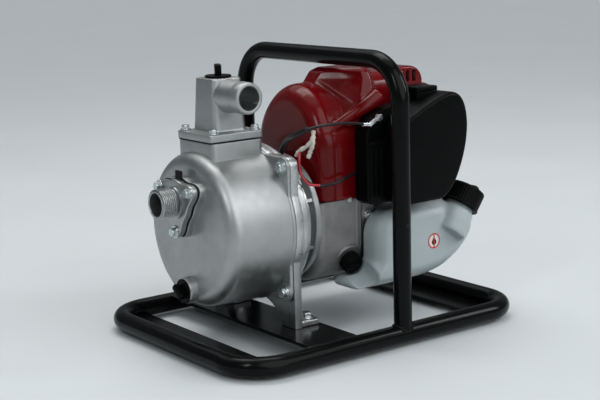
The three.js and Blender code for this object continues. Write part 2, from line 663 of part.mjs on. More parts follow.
// Front hood of the engine: a domed shell, open below and at the seam.
function buildTopCover() {
  const roundFront = (inset) => {
    const bevel = 16;
    const shrunk = coverOutline(inset + bevel);
    const depth = COVER_SEAM_X - COVER_FRONT_X;
    const geometry = new THREE.ExtrudeGeometry(shrunk, { depth, bevelEnabled: true, bevelSize: bevel,
      bevelThickness: bevel, bevelSegments: inset > 0 ? 2 : 4, curveSegments: inset > 0 ? 4 : 7 });
    geometry.applyMatrix4(new THREE.Matrix4().makeBasis(
      new THREE.Vector3(0, 1, 0), new THREE.Vector3(0, 0, 1), new THREE.Vector3(1, 0, 0)));
    geometry.translate(COVER_FRONT_X + bevel + inset, 0, 0);
    return toSolid(geometry);
  };
  const keep = box(-60, COVER_SEAM_X, -90, 90, COVER_Z0, 320);
  const raised = slabZ(roundedRect(0, -62, 70, 6, 14), 230, 298, 4);
  const raisedHollow = slabZ(roundedRect(SHELL, -62 + SHELL, 72, 6 - SHELL, 11), 200, 298 - SHELL, 2);
  const slots = [0, 1].map((i) => box(16, 34, -44 + i * 16, -39 + i * 16, 290, 300));
  const shell = cut(join(roundFront(0), raised).intersect(keep), roundFront(SHELL), raisedHollow, ...slots);
  piece('top_cover', shell, MATERIAL.redPlastic);
}

const REAR_COVER = { half: 57, tallX: 104, tallZ: 291, backX: 150, backZ: 272 };

// Rear hood: a tall front part, a lower back part, and a hollow arch with two windows over the step.
function buildRearCover() {
  const x0 = COVER_SEAM_X + GAP;
  const { half, tallX, tallZ, backX, backZ } = REAR_COVER;
  const outline = (inset, z0, z1) => roundedRect(-half + inset, z0, half - inset, z1 - inset, 20);
  const tall = slabX(outline(0, COVER_Z0, tallZ), x0, tallX, 4);
  const back = slabX(outline(0, 184, backZ), tallX - 1, backX, 4);
  const tallHollow = slabX(outline(SHELL, 140, tallZ), x0 - 1, tallX - SHELL, 3);
  const backHollow = slabX(outline(SHELL, 170, backZ), tallX - 10, backX - SHELL, 3);
  const arch = slabY(roundedRect(84, 240, 134, 294, 20), -48, -12, 5);
  const archHollow = slabY(roundedRect(84 + SHELL, 240, 134 - SHELL, 294 - SHELL, 17), -48 + SHELL, -12 - SHELL, 3);
  const ports = box(x0 - 1, tallX - SHELL - 1, -60, 60, 158, 232);
  const windows = [0, 1].map((i) => box(108 + i * 9, 113 + i * 9, -60, 0, 277, 288));
  piece('rear_cover', cut(join(tall, back, arch), tallHollow, backHollow, archHollow, ports, ...windows),
    MATERIAL.redPlastic);
}

// ---------------------------------------------------------------- intake side

// The rounded D of the air cleaner, seen from the side.
function cleanerOutline(inset, left) {
  const shape = new THREE.Shape();
  shape.moveTo(left + inset, 153 + inset);
  shape.lineTo(left + inset, 222);
  shape.quadraticCurveTo(left + inset, 244 - inset, left + 20, 250 - inset);
  shape.quadraticCurveTo(92, 267 - inset, 112, 269 - inset);
  shape.quadraticCurveTo(136 - inset, 269.5 - inset, 138 - inset, 232);
  shape.quadraticCurveTo(138.5 - inset, 203, 122 - inset, 172);
  shape.quadraticCurveTo(111 - inset, 152 + inset, 96, 149 + inset);
  shape.lineTo(left + 6, 149 + inset);
  return shape;
}

const THROTTLE_PIVOT = { x: 30, y: -88.3, z: 246 };
const LATCH_Z = 269.8;           // underside of the latch, just above the air cleaner
const CLEANER = { caseY0: -88, caseY1: -66, coverY0: -120, coverLeft: 40 };

function buildAirCleaner() {
  const caseBody = slabY(cleanerOutline(0, 14), CLEANER.caseY0, CLEANER.caseY1);
  const caseHollow = slabY(cleanerOutline(SHELL, 40), CLEANER.caseY0 - 1, CLEANER.caseY1 - SHELL);
  const throat = rod(10, [71, CLEANER.caseY1 + 2, 205], [0, -1, 0], 12, 20);
  piece('air_cleaner_case', cut(caseBody, caseHollow, throat), MATERIAL.blackPlastic);

  const coverBody = slabY(cleanerOutline(0, CLEANER.coverLeft), CLEANER.coverY0, CLEANER.caseY0 - GAP);
  const coverHollow = slabY(cleanerOutline(SHELL, CLEANER.coverLeft), CLEANER.coverY0 + SHELL, CLEANER.caseY0 + 1);
  piece('air_cleaner_cover', cut(coverBody, coverHollow), MATERIAL.blackPlastic);

  const filter = slabY(cleanerOutline(9, 46), CLEANER.caseY0 - 2, CLEANER.caseY1 - SHELL - 8);
  piece('air_filter', filter, MATERIAL.foam);

  const latch = slabY(roundedRect(80, LATCH_Z, 111, LATCH_Z + 5.4, 1.5), -98, -66, 2);
  piece('cleaner_latch', latch, MATERIAL.blackPlastic);
}

function buildCarburettor() {
  const bodyY0 = CLEANER.caseY1 + GAP;
  const body = box(56, 92, bodyY0, -38.6, 186, 222);
  const bowl = rod(12, [74, -52, 174], [0, 0, 1], 13, 20);
  const throat = rod(9, [71, -30, 205], [0, -1, 0], 40, 20);
  const bulbSocket = rod(8.3, [74, -52, 173], [0, 0, 1], 5.4, 16);
  piece('carburettor', cut(join(body, bowl), throat, bulbSocket), MATERIAL.rawAluminium);

  piece('primer_bulb', turned([[0, 0], [8, 0], [8, 2], [6, 6], [3, 8.4], [0, 9]], [74, -52, 173.7], [0, 0, -1], 16),
    MATERIAL.rubber);
  const lever = join(rod(4, [92.3, -50, 214], [1, 0, 0], 4, 14), box(92.8, 96, -52.5, -47.5, 214, 230));
  piece('choke_lever', lever, MATERIAL.blackPlastic);

  const pivot = THROTTLE_PIVOT;
  const strap = new THREE.ExtrudeGeometry(roundedRect(-16, -2.5, 2.5, 2.5, 2.4), { depth: 2, bevelEnabled: false,
    curveSegments: 3 });
  strap.rotateX(Math.PI / 2);
  strap.rotateY(-0.46);
  strap.translate(pivot.x, pivot.y - 1, pivot.z);
  const arm = toSolid(strap);
  const boss = rod(4, [pivot.x, pivot.y, pivot.z], [0, -1, 0], 4.5, 12);
  piece('throttle_arm', join(arm, boss), MATERIAL.chrome);
}

// ---------------------------------------------------------------- exhaust side

function buildMuffler() {
  const shell = slabY(roundedRect(51, 172, 112, 240, 12), 62, 112, 4);
  const outlet = rod(6.5, [100, 110, 186], [0.2, 1, 0], 14, 16);
  const neck = box(60, 82, 46 + GAP, 63, 196, 214);
  const bore = rod(4.8, [100, 100, 186], [0.2, 1, 0], 34, 16);
  piece('muffler', cut(join(shell, outlet, neck), bore), MATERIAL.heatSteel);
}

// ---------------------------------------------------------------- recoil starter

const GRIP = { x: 136, y: 46, z: 160 };
const PULLEY_R = 30;

function buildRecoil() {
  const profile = [[0, 42 - SHELL], [RECOIL_R - 10, 42 - SHELL], [RECOIL_R - SHELL, 32], [RECOIL_R - SHELL, 0],
    [RECOIL_R, 0], [RECOIL_R, 34], [RECOIL_R - 8, 42], [0, 42]];
  const cap = turned(profile, [RECOIL_X0, 0, AXIS_Z], [1, 0, 0], 28);
  const post = rodX(5, 134, 158, 0, AXIS_Z, 12);
  const nose = box(GRIP.x - 8, GRIP.x + 8, 10, 45, GRIP.z - 7, GRIP.z + 7);
  const ropeHole = rod(2.6, [GRIP.x, 5, GRIP.z], [0, 1, 0], 45, 12);
  const inside = rodX(RECOIL_R - SHELL - 0.5, RECOIL_X0 - 1, 150, 0, AXIS_Z, 28);
  const body = join(cap, cut(nose, inside));
  piece('recoil_cover', cut(join(body, post), ropeHole), MATERIAL.blackPlastic);

  const groove = [[5.4, 0], [PULLEY_R, 0], [PULLEY_R, 2], [PULLEY_R - 6, 4], [PULLEY_R - 6, 7], [PULLEY_R, 9],
    [PULLEY_R, 11], [5.4, 11], [5.4, 0]];
  const pulley = turned(groove, [GRIP.x - 5.5, 0, AXIS_Z], [1, 0, 0], 24);
  piece('recoil_pulley', pulley, MATERIAL.blackPlastic);

  const bar = new THREE.CapsuleGeometry(6, 30, 3, 12);
  bar.rotateX(Math.PI / 2);
  bar.translate(GRIP.x, GRIP.y + 12, GRIP.z);
  const stem = rod(5, [GRIP.x, GRIP.y, GRIP.z], [0, 1, 0], 10, 10);
  piece('starter_grip', join(toSolid(bar), stem), MATERIAL.rubber);
}

// ---------------------------------------------------------------- fuel and oil

const FUEL_AXIS = [0.58, 0, 0.8146];
const FUEL_SEAT = [150, -88, 125.9];      // where the neck leaves the tank
const CAP_LIFT = 4;

function along(base, direction, distance) {
  return base.map((c, i) => c + direction[i] * distance);
}

function tankOutline(inset) {
  const shape = new THREE.Shape();
  shape.moveTo(26 + inset, 78);
  shape.lineTo(26 + inset, 112);
  shape.quadraticCurveTo(26 + inset, 138.5 - inset, 54, 138.5 - inset);
  shape.lineTo(132, 138.5 - inset);
  shape.quadraticCurveTo(174 - inset, 135 - inset, 174 - inset, 104);
  shape.quadraticCurveTo(168 - inset, 78 + inset, 128, 61 + inset);
  shape.quadraticCurveTo(108, 54 + inset, 84, 54 + inset);
  shape.lineTo(50, 53 + inset);
  shape.quadraticCurveTo(26 + inset, 53 + inset, 26 + inset, 78);
  return shape;
}

const TOE = { x0: -4, x1: 50, y0: 48, y1: 86, z0: 53, z1: 65 };

// The low corner of each cheek, which reaches forward under the oil filler.
function tankToe(side, inset) {
  const edges = [side * (TOE.y0 + inset), side * (TOE.y1 - inset)].sort((a, b) => a - b);
  return slabZ(roundedRect(TOE.x0 + inset, edges[0], TOE.x1 - inset, edges[1], 9), TOE.z0 + inset, TOE.z1 - inset, 3);
}

// Saddle tank: two side cheeks joined under the crankcase.
function tankSolid(inset, fine) {
  const bevel = 18;
  const half = 95 - inset;
  const geometry = new THREE.ExtrudeGeometry(tankOutline(inset + bevel), { depth: 2 * (half - bevel),
    bevelEnabled: true, bevelSize: bevel, bevelThickness: bevel, bevelSegments: fine, curveSegments: fine });
  geometry.rotateX(Math.PI / 2);
  geometry.translate(0, half - bevel, 0);
  const saddle = 44.5 + inset;
  const rearOfEngine = COVER_SEAM_X + 2 + inset;
  const body = join(toSolid(geometry), tankToe(-1, inset), tankToe(1, inset));
  return cut(body,
    box(0, 200, -saddle, saddle, 80 - inset, 200),
    box(0, rearOfEngine, -63 - inset, 63 + inset, TOE.z1 + 1 - inset, 200),
    box(-10, rearOfEngine, -TOE.y0 + 2 - inset, TOE.y0 - 2 + inset, 30, 200));
}

function buildTank() {
  const neck = rod(17, along(FUEL_SEAT, FUEL_AXIS, -14), FUEL_AXIS, 24);
  const bore = rod(13, along(FUEL_SEAT, FUEL_AXIS, -22), FUEL_AXIS, 40, 16);
  const capRoom = rod(24.6, along(FUEL_SEAT, FUEL_AXIS, CAP_LIFT - 2), FUEL_AXIS, 40);
  piece('fuel_tank', cut(join(cut(tankSolid(0, 4), capRoom), neck), tankSolid(3, 2), bore), MATERIAL.tankPlastic);

  const capBase = along(FUEL_SEAT, FUEL_AXIS, CAP_LIFT);
  const profile = [[0, 10], [17.4, 10], [17.4, 0], [22.1, 0], [22.6, 3], [22.6, 22], [21.1, 24.4], [0, 24.4]];
  const grip = new THREE.BoxGeometry(32, 8, 6);
  grip.translate(0, 0, 25.6);
  piece('fuel_cap', join(turned(profile, capBase, FUEL_AXIS), place(grip, capBase, FUEL_AXIS)),
    MATERIAL.blackPlastic);
}

function buildOilCap() {
  const profile = [[0, 0], [11.5, 0], [12.5, 1.5], [12.5, 11], [11.5, 12.5], [0, 12.5]];
  piece('oil_cap', turned(profile, OIL_CAP.at, OIL_CAP.direction, 16), MATERIAL.blackPlastic);
}

// ---------------------------------------------------------------- control cable and wires

// The throttle cable climbs from its clip on the adapter, crosses the hood and ends at the throttle arm.
const CABLE_SLEEVE = [[-50.5, -12, 199.5], [-51, -20, 212], [-54, -34, 224.5], [-58, -54, 232], [-58, -77, 240.5]];
const CABLE_INNER = [[-58, -77, 240.5], [-46, -85, 244], [-20, -89, 244.5], [3, -93, 242], [13, -93.6, 240]];
// The stop-switch lead drops behind the bracket's edge, loops and runs back under the air cleaner.
const STOP_LEAD = [[-56, -78, 232], [-60, -84, 216], [-64, -90, 200], [-62, -91, 186], [-50, -88, 180],
  [-30, -84, 178.5], [-6, -80, 182], [11, -77, 184]];

function buildCables() {
  const sleeve = tube(smooth(CABLE_SLEEVE, 12), 3.2, 8);
  const inner = tube(smooth(CABLE_INNER, 14), 1.7, 8);
  piece('throttle_cable', join(sleeve, inner), MATERIAL.rubber);
  piece('stop_lead', tube(smooth(STOP_LEAD, 26), 1.6, 6), MATERIAL.rubber);
}

// ---------------------------------------------------------------- assembly

buildFrame();
buildCasing();
buildBracket();
buildVolute();
buildImpeller();
buildSeal();
buildSuctionPort();
buildTower();
buildPlugs();
buildAdapter();
buildFanHousing();
buildCrankcase();
buildRotor();
buildCylinder();
buildTopCover();
buildRearCover();
buildAirCleaner();
buildCarburettor();
buildMuffler();
buildRecoil();
buildTank();
buildOilCap();
buildCables();

export default pump;
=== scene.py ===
import json
from math import acos, atan2, cos, hypot, pi, radians, sin, sqrt, tan

import bmesh
import bpy
from mathutils import Matrix, Vector


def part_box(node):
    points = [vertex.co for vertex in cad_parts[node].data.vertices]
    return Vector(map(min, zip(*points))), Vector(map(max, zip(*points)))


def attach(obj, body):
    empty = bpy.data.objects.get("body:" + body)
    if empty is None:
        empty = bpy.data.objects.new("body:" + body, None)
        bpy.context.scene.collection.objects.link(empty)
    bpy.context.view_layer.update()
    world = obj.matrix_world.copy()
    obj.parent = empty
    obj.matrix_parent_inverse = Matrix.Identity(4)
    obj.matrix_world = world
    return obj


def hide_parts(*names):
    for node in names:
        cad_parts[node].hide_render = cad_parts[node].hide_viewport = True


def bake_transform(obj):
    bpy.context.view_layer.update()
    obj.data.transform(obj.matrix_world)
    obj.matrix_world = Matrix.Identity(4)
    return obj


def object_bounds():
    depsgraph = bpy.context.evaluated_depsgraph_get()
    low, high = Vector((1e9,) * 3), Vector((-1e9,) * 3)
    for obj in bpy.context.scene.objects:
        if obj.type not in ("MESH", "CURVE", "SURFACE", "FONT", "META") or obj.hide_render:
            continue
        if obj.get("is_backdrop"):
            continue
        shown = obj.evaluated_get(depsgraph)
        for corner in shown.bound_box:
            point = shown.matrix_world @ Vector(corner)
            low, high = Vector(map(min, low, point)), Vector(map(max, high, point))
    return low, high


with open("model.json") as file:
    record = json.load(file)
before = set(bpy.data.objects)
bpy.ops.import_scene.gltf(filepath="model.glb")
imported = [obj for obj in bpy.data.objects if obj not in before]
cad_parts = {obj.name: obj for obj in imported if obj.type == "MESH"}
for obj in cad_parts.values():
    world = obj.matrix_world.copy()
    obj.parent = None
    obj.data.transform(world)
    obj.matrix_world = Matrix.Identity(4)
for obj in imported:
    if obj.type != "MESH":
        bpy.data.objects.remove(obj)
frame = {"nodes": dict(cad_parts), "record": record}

CAD_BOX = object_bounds()
MM = 0.001                      # the shapes below are written in millimetres

# ---- measures taken from the frame


def span(node):
    low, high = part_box(node)
    return low / MM, high / MM


def middle(node):
    low, high = span(node)
    return (low + high) / 2


AXIS_Z = middle("volute").z
SUCTION_Z = AXIS_Z + 34
TOWER_X = middle("filler_plug").x
LOOP_LOW, LOOP_HIGH = span("base_loop")
HANDLE_LOW, HANDLE_HIGH = span("handle_tube")
TOWER_LOW, TOWER_HIGH = span("discharge_tower")
COVER_LOW, COVER_HIGH = span("top_cover")
REAR_LOW, REAR_HIGH = span("rear_cover")
CASE_LOW, CASE_HIGH = span("air_cleaner_case")
CLEANER_LOW, CLEANER_HIGH = span("air_cleaner_cover")
TANK_LOW, TANK_HIGH = span("fuel_tank")
FLANGE_LOW, FLANGE_HIGH = span("suction_flange")

DRUM_R = 85
FACE_X = span("pump_casing")[0].x + 9
FLANGE_X = -88
FLANGE_HALF = 79
FLANGE_R = 87.5
PLATE_X0 = span("mounting_bracket")[0].x
PLATE_X1 = PLATE_X0 + 9.7
BRACKET_X1 = -61
CORNER_BOLT = 69.5
BORE_R = 12.8
SPOUT_Z = TOWER_HIGH.z - 18.8
DRAIN_Z = 68
CORNERS = [(-1, -1), (-1, 1), (1, -1), (1, 1)]
SUCTION_BOLTS = [(28.5, 14), (-31, 14), (0, -32.5)]      # Y and Z from the suction axis
G1_PITCH = 2.309
ALONG, AHEAD = (1, 0, 0), (-1, 0, 0)
NEAR, FAR = (0, -1, 0), (0, 1, 0)
UP = (0, 0, 1)

# ---- outlines and shells


def polar(radius, angle):
    return radius * cos(angle), radius * sin(angle)


def evenly(total, steps):
    """Evenly spaced values from zero to the total."""
    return [total * i / steps for i in range(steps + 1)]


def around(count):
    """Angles evenly round a full turn."""
    return evenly(2 * pi, count)[:-1]


def arc(centre, radius, start, end, steps):
    points = []
    for angle in evenly(end - start, steps):
        x, y = polar(radius, start + angle)
        points.append((centre[0] + x, centre[1] + y))
    return points


def rounded_rect(a0, b0, a1, b1, radius, steps=8):
    quarter = pi / 2
    centres = [(a1 - radius, b0 + radius), (a1 - radius, b1 - radius), (a0 + radius, b1 - radius),
            (a0 + radius, b0 + radius)]
    points = []
    for i, centre in enumerate(centres):
        points += arc(centre, radius, quarter * (i - 1), quarter * i, steps)
    return points


def rounded_polygon(corners, radius, steps=5):
    """A polygon with every corner rounded; all its outlines have the same number of points."""
    points = []
    for i, corner in enumerate(corners):
        here = Vector(corner)
        before = (Vector(corners[i - 1]) - here).normalized()
        after = (Vector(corners[(i + 1) % len(corners)]) - here).normalized()
        half = before.angle(after) / 2
        reach = radius / tan(half)
        start = tuple(here + before * reach)
        points.append(start)
        points += quadratic(start, corner, tuple(here + after * reach), steps)
    return points


def quadratic(a, b, c, steps):
    """Points after a on the curve from a to c that leans towards b."""
    points = []
    for i in range(1, steps + 1):
        t = i / steps
        points.append(tuple((1 - t) ** 2 * a[k] + 2 * t * (1 - t) * b[k] + t * t * c[k]
                for k in (0, 1)))
    return points


def bend(points, towards, end, steps):
    """Carries an outline on from its last point with a curve."""
    points += quadratic(points[-1], towards, end, steps)


def cubic(a, b, c, d, steps):
    points = []
    for i in range(1, steps + 1):
        t = i / steps
        s = 1 - t
        points.append(tuple(s ** 3 * a[k] + 3 * s * s * t * b[k] + 3 * s * t * t * c[k] + t ** 3
                * d[k] for k in (0, 1)))
    return points


def offset(outline, distance):
    """Moves an outline inwards by a distance, or outwards if it is negative."""
    count = len(outline)
    area = sum(outline[i - 1][0] * outline[i][1] - outline[i][0] * outline[i - 1][1]
            for i in range(count))
    turn = 1 if area > 0 else -1
    moved = []
    for i in range(count):
        before, here, after = (Vector(outline[(i + k) % count]) for k in (-1, 0, 1))
        first = (here - before).normalized()
        second = (after - here).normalized()
        along = (first + second).normalized()
        stretch = 1 / max(along.dot(first), 0.5)
        moved.append((here.x - turn * along.y * distance * stretch,
                here.y + turn * along.x * distance * stretch))
    return moved


def place_outline(outline, plane, depth):
    order = {"x": (0, 1, 2), "y": (1, 0, 2), "z": (1, 2, 0)}[plane]
    return [Vector([(depth, a, b)[k] for k in order]) for a, b in outline]


def loft(rings, loop=False, caps=True):
    count = len(rings[0])
    verts = [point for ring in rings for point in ring]
    faces = []
    for i in range(len(rings) - (0 if loop else 1)):
        low = i * count
        high = ((i + 1) % len(rings)) * count
        for j in range(count):
            k = (j + 1) % count
            faces.append((low + j, low + k, high + k, high + j))
    if caps and not loop:
        faces.append(tuple(range(count)))
        faces.append(tuple(range(len(verts) - count, len(verts))))
    return verts, faces


def slab(outline, plane, start, end, round_start=1.0, round_end=None, steps=4):
    """An outline drawn in a plane and given a thickness, with its rims rounded."""
    round_end = round_start if round_end is None else round_end
    inwards = 1 if end > start else -1

    def ring(face, way, rounding, angle):
        depth = face + way * rounding * (1 - cos(angle))
        return place_outline(offset(outline, rounding * (1 - sin(angle))), plane, depth)

    shares = evenly(1, steps)
    rings = [ring(start, inwards, round_start, angle) for angle in evenly(pi / 2, steps)]
    rings += [ring(end, -inwards, round_end, pi / 2 * (1 - share)) for share in shares]
    return loft(rings)


def plate(a0, b0, a1, b1, radius, plane, *extent):
    """A slab with the outline of a rounded rectangle."""
    return slab(rounded_rect(a0, b0, a1, b1, radius), plane, *extent)


def turned(profile, base, direction, sides=96, shape=None):
    """A body of revolution from (radius, height) points; shape may change the radius."""
    axis = Vector(direction).normalized()
    side = axis.orthogonal().normalized()
    other = axis.cross(side)
    rings = []
    for radius, height in profile:
        ring = []
        for angle in around(sides):
            reach = shape(radius, height, angle) if shape and radius > 0 else radius
            x, y = polar(reach, angle)
            ring.append(Vector(base) + axis * height + side * x + other * y)
        rings.append(ring)
    closed = profile[0] == profile[-1] and profile[0][0] > 0
    return loft(rings[:-1] if closed else rings, loop=closed, caps=False)


def rod(radius, base, direction, length, sides=48, rim=0.0):
    profile = [(0, 0), (radius - rim, 0)] if rim else [(0, 0), (radius, 0)]
    if rim:
        profile += [(radius - rim * (1 - sin(a)), rim * (1 - cos(a)))
                for a in (pi / 6, pi / 3, pi / 2)]
        profile += [(radius - rim * (1 - cos(a)), length - rim * (1 - sin(a)))
                for a in (0, pi / 6, pi / 3)]
        profile.append((radius - rim, length))
    else:
        profile.append((radius, length))
    profile.append((0, length))
    return turned(profile, base, direction, sides)


def sweep(points, radius, sides=20, closed=False):
    """A tube along a path; the radius is a number or a function of the share of the path."""
    points = [Vector(p) for p in points]
    count = len(points)
    rings = []
    normal = None
    for i, point in enumerate(points):
        before = points[i - 1] if closed or i else point
        after = points[(i + 1) % count] if closed or i < count - 1 else point
        axis = (after - before).normalized()
        if normal is None:
            normal = axis.orthogonal()
        normal = (normal - axis * normal.dot(axis)).normalized()
        other = axis.cross(normal)
        reach = radius(i / (count - 1)) if callable(radius) else radius
        ring = []
        for angle in around(sides):
            x, y = polar(reach, angle)
            ring.append(point + normal * x + other * y)
        rings.append(ring)
    return loft(rings, loop=closed)


def fillet_path(corners, radius, steps=14, closed=False, straight=4):
    """A path through corner points with round bends and a few points on each straight."""
    corners = [Vector(c) for c in corners]
    count = len(corners)
    path = []
    for i, corner in enumerate(corners):
        if not closed and i in (0, count - 1):
            path.append(corner)
            continue
        inward = (corner - corners[i - 1]).normalized()
        outward = (corners[(i + 1) % count] - corner).normalized()
        turn = acos(max(-1, min(1, inward.dot(outward))))
        start = corner - inward * radius * tan(turn / 2)
        side = (outward - inward * inward.dot(outward)).normalized()
        centre = start + side * radius
        for angle in evenly(turn, steps):
            x, y = polar(radius, angle)
            path.append(centre - side * x + inward * y)
    dense = []
    for i in range(len(path) if closed else len(path) - 1):
        here = path[i]
        after = path[(i + 1) % len(path)]
        pieces = straight if (after - here).length > radius else 1
        dense += [here.lerp(after, k / pieces) for k in range(pieces)]
    if not closed:
        dense.append(path[-1])
    return dense


def curve_path(points, steps=8):
    """A smooth path through a few chosen points."""
    points = [Vector(p) for p in points]
    padded = [2 * points[0] - points[1], *points, 2 * points[-1] - points[-2]]
    path = []
    for i in range(1, len(padded) - 2):
        a, b, c, d = padded[i - 1:i + 3]
        for k in range(steps):
            t = k / steps
            path.append(0.5 * (2 * b + (c - a) * t + (2 * a - 5 * b + 4 * c - d) * t * t
                    + (3 * b - a - 3 * c + d) * t ** 3))
    path.append(points[-1])
    return path


def wire(points, radius, sides):
    """A tube on a smooth path through a few points."""
    return sweep(curve_path(points), radius, sides)


def spokes(count, first=0.0):
    """Outward and sideways directions evenly around the pump axis."""
    for angle in around(count):
        angle += first
        yield Vector((0, *polar(1, angle))), Vector((0, *polar(1, angle + pi / 2)))


# ---- pieces


def object_from(name, shells):
    bm = bmesh.new()
    for verts, faces in shells:
        made = [bm.verts.new(Vector(v) * MM) for v in verts]
        for face in faces:
            bm.faces.new([made[i] for i in face])
        bmesh.ops.remove_doubles(bm, verts=made, dist=1e-7)
    bmesh.ops.dissolve_degenerate(bm, edges=bm.edges, dist=1e-8)
    bmesh.ops.recalc_face_normals(bm, faces=bm.faces)
    mesh = bpy.data.meshes.new(name)
    bm.to_mesh(mesh)
    bm.free()
    obj = bpy.data.objects.new(name, mesh)
    bpy.context.scene.collection.objects.link(obj)
    return obj


def apply_modifiers(obj):
    depsgraph = bpy.context.evaluated_depsgraph_get()
    mesh = bpy.data.meshes.new_from_object(obj.evaluated_get(depsgraph))
    old = obj.data
    obj.modifiers.clear()
    obj.data = mesh
    bpy.data.meshes.remove(old)


def combine(obj, **shells):
    """Joins shells to an object (union) or cuts them away (difference), in the order given."""
    tools = []
    for operation, group in shells.items():
        for shell in group:
            tool = object_from("tool", [shell])
            tools.append(tool)
            modifier = obj.modifiers.new(operation, "BOOLEAN")
            modifier.operation = operation.upper()
            modifier.solver = "EXACT"
            modifier.object = tool
    apply_modifiers(obj)
    for tool in tools:
        bpy.data.objects.remove(tool)
    return obj


def fused(name, solids, cuts=()):
    """One solid from several that overlap, less the cutting shapes."""
    return combine(object_from(name, [solids[0]]), union=solids[1:], difference=cuts)


def moulded(obj, voxel, smoothing=0):
    """Runs overlapping shapes into one skin, with soft inside corners if it is smoothed."""
    remesh = obj.modifiers.new("remesh", "REMESH")
    remesh.mode = "VOXEL"
    remesh.voxel_size = voxel * MM
    if smoothing:
        smooth = obj.modifiers.new("smooth", "SMOOTH")
        smooth.factor = 0.5
        smooth.iterations = smoothing
    apply_modifiers(obj)
    return obj


def coat(mesh, material):
    """Gives a mesh one material and smooth shading."""
    mesh.materials.clear()
    mesh.materials.append(material)
    mesh.polygons.foreach_set("material_index", [0] * len(mesh.polygons))
    mesh.polygons.foreach_set("use_smooth", [True] * len(mesh.polygons))


def dress(obj, material, node=None, body="root", smooth=32, slot=None):
    """Finishes a piece that rides on a body and may stand for a CAD node."""
    coat(obj.data, material)
    obj.data.set_sharp_from_angle(angle=radians(smooth))
    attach(obj, body)
    slot or SLOT_OF[material]
    if node:
        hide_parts(node)


def piece(name, shells, material, node=None, body="root", smooth=32, slot=None):
    dress(object_from(name, shells), material, node, body, smooth, slot)


# ---- materials


class Surface:
    """Builds a node material on a Principled shader, in the coordinates of the part itself."""

    def __init__(self, name, **sockets):
        self.material = bpy.data.materials.new(name)
        self.material.use_nodes = True
        self.tree = self.material.node_tree
        self.shader = self.assign(self.tree.nodes["Principled BSDF"], sockets)
        self.place = self.node("ShaderNodeTexCoord").outputs["Object"]
        self.normal = None

    def assign(self, node, values):
        """Sets inputs of a node, or failing that its properties, by name."""
        for name, value in values.items():
            socket = node.inputs.get(name.replace("_", " "))
            if socket:
                socket.default_value = value
            else:
                setattr(node, name, value)
        return node

    def node(self, kind, **values):
        return self.assign(self.tree.nodes.new(kind), values)

    def link(self, output, target):
        self.tree.links.new(output, target)

    def noise(self, size, detail=3.0, stretch=None):
        """Noise whose features are about that many millimetres across."""
        texture = self.node("ShaderNodeTexNoise", Scale=1 / (size * MM), Detail=detail)
        source = self.place
        if stretch:
            mapping = self.node("ShaderNodeMapping", Scale=stretch)
            self.link(source, mapping.inputs["Vector"])
            source = mapping.outputs["Vector"]
        self.link(source, texture.inputs["Vector"])
        return texture.outputs["Fac"]

    def colours(self, factor, stops):
        ramp = self.node("ShaderNodeValToRGB")
        elements = ramp.color_ramp.elements
        while len(elements) < len(stops):
            elements.new(0.5)
        for element, (position, colour) in zip(elements, stops):
            element.position = position
            element.color = (*colour, 1)
        self.link(factor, ramp.inputs["Fac"])
        self.link(ramp.outputs["Color"], self.shader.inputs["Base Color"])

    def vary_roughness(self, factor, low, high):
        spread = self.node("ShaderNodeMapRange", From_Min=0.3, From_Max=0.7,
                To_Min=low, To_Max=high)
        self.link(factor, spread.inputs["Value"])
        self.link(spread.outputs["Result"], self.shader.inputs["Roughness"])

    def set_normal(self, output):
        self.normal = output
        self.link(output, self.shader.inputs["Normal"])

    def soft_edges(self, radius):
        bevel = self.node("ShaderNodeBevel", samples=4, Radius=radius * MM)
        self.set_normal(bevel.outputs["Normal"])

    def bump(self, height, depth):
        """Bump of that many millimetres over the ones added before it."""
        bump = self.node("ShaderNodeBump", Strength=1.0, Distance=depth * MM)
        self.link(height, bump.inputs["Height"])
        if self.normal:
            self.link(self.normal, bump.inputs["Normal"])
        self.set_normal(bump.outputs["Normal"])


def mottled(surface, colour, size, contrast):
    dark, light = (tuple(c * (1 + sign * contrast) for c in colour) for sign in (-1, 1))
    surface.colours(surface.noise(size, 5), [(0.3, dark), (0.7, light)])


def finish(name, colour, mottle, gloss, edge, bumps, **sockets):
    """A material: mottle is size and contrast, gloss is size, detail and the span of roughness,
    and each bump is the noise and its depth."""
    surface = Surface(name, **sockets)
    mottled(surface, colour, *mottle)
    size, detail, low, high = gloss
    surface.vary_roughness(surface.noise(size, detail), low, high)
    surface.soft_edges(edge)
    for noise, depth in bumps:
        surface.bump(surface.noise(*noise), depth)
    return surface.material


def cast_metal(name, colour, roughness, grain, depth, edge=0.9, contrast=0.06):
    return finish(name, colour, (22, contrast), (9, 4, roughness - 0.05, roughness + 0.07), edge,
            [((grain, 2), depth)], Metallic=1.0)


def paint(name, colour, roughness):
    return finish(name, colour, (30, 0.25), (24, 4, roughness - 0.03, roughness + 0.06), 0.6,
            [((3.0, 2), 0.02), ((0.35, 1), 0.004)], Roughness=roughness, Specular_IOR_Level=0.11)


def plastic(name, colour, roughness, grain=0.6, depth=0.012, contrast=0.12, edge=0.5, **sockets):
    return finish(name, colour, (18, contrast), (11, 5, roughness - 0.04, roughness + 0.09), edge,
            [((grain, 2), depth)], Roughness=roughness, **sockets)


def machined(name, colour, roughness):
    """Aluminium with fine turning marks across the pump axis."""
    return finish(name, colour, (16, 0.09), (5, 5, roughness - 0.08, roughness + 0.1), 0.5,
            [((14, 3, (60, 4, 4)), 0.06), ((0.8, 2), 0.02)], Metallic=1.0)


def plated(name, colour, roughness):
    return finish(name, colour, (6, 0.1), (3, 4, roughness - 0.04, roughness + 0.1), 0.25,
            [((0.7, 2), 0.01)], Metallic=1.0)


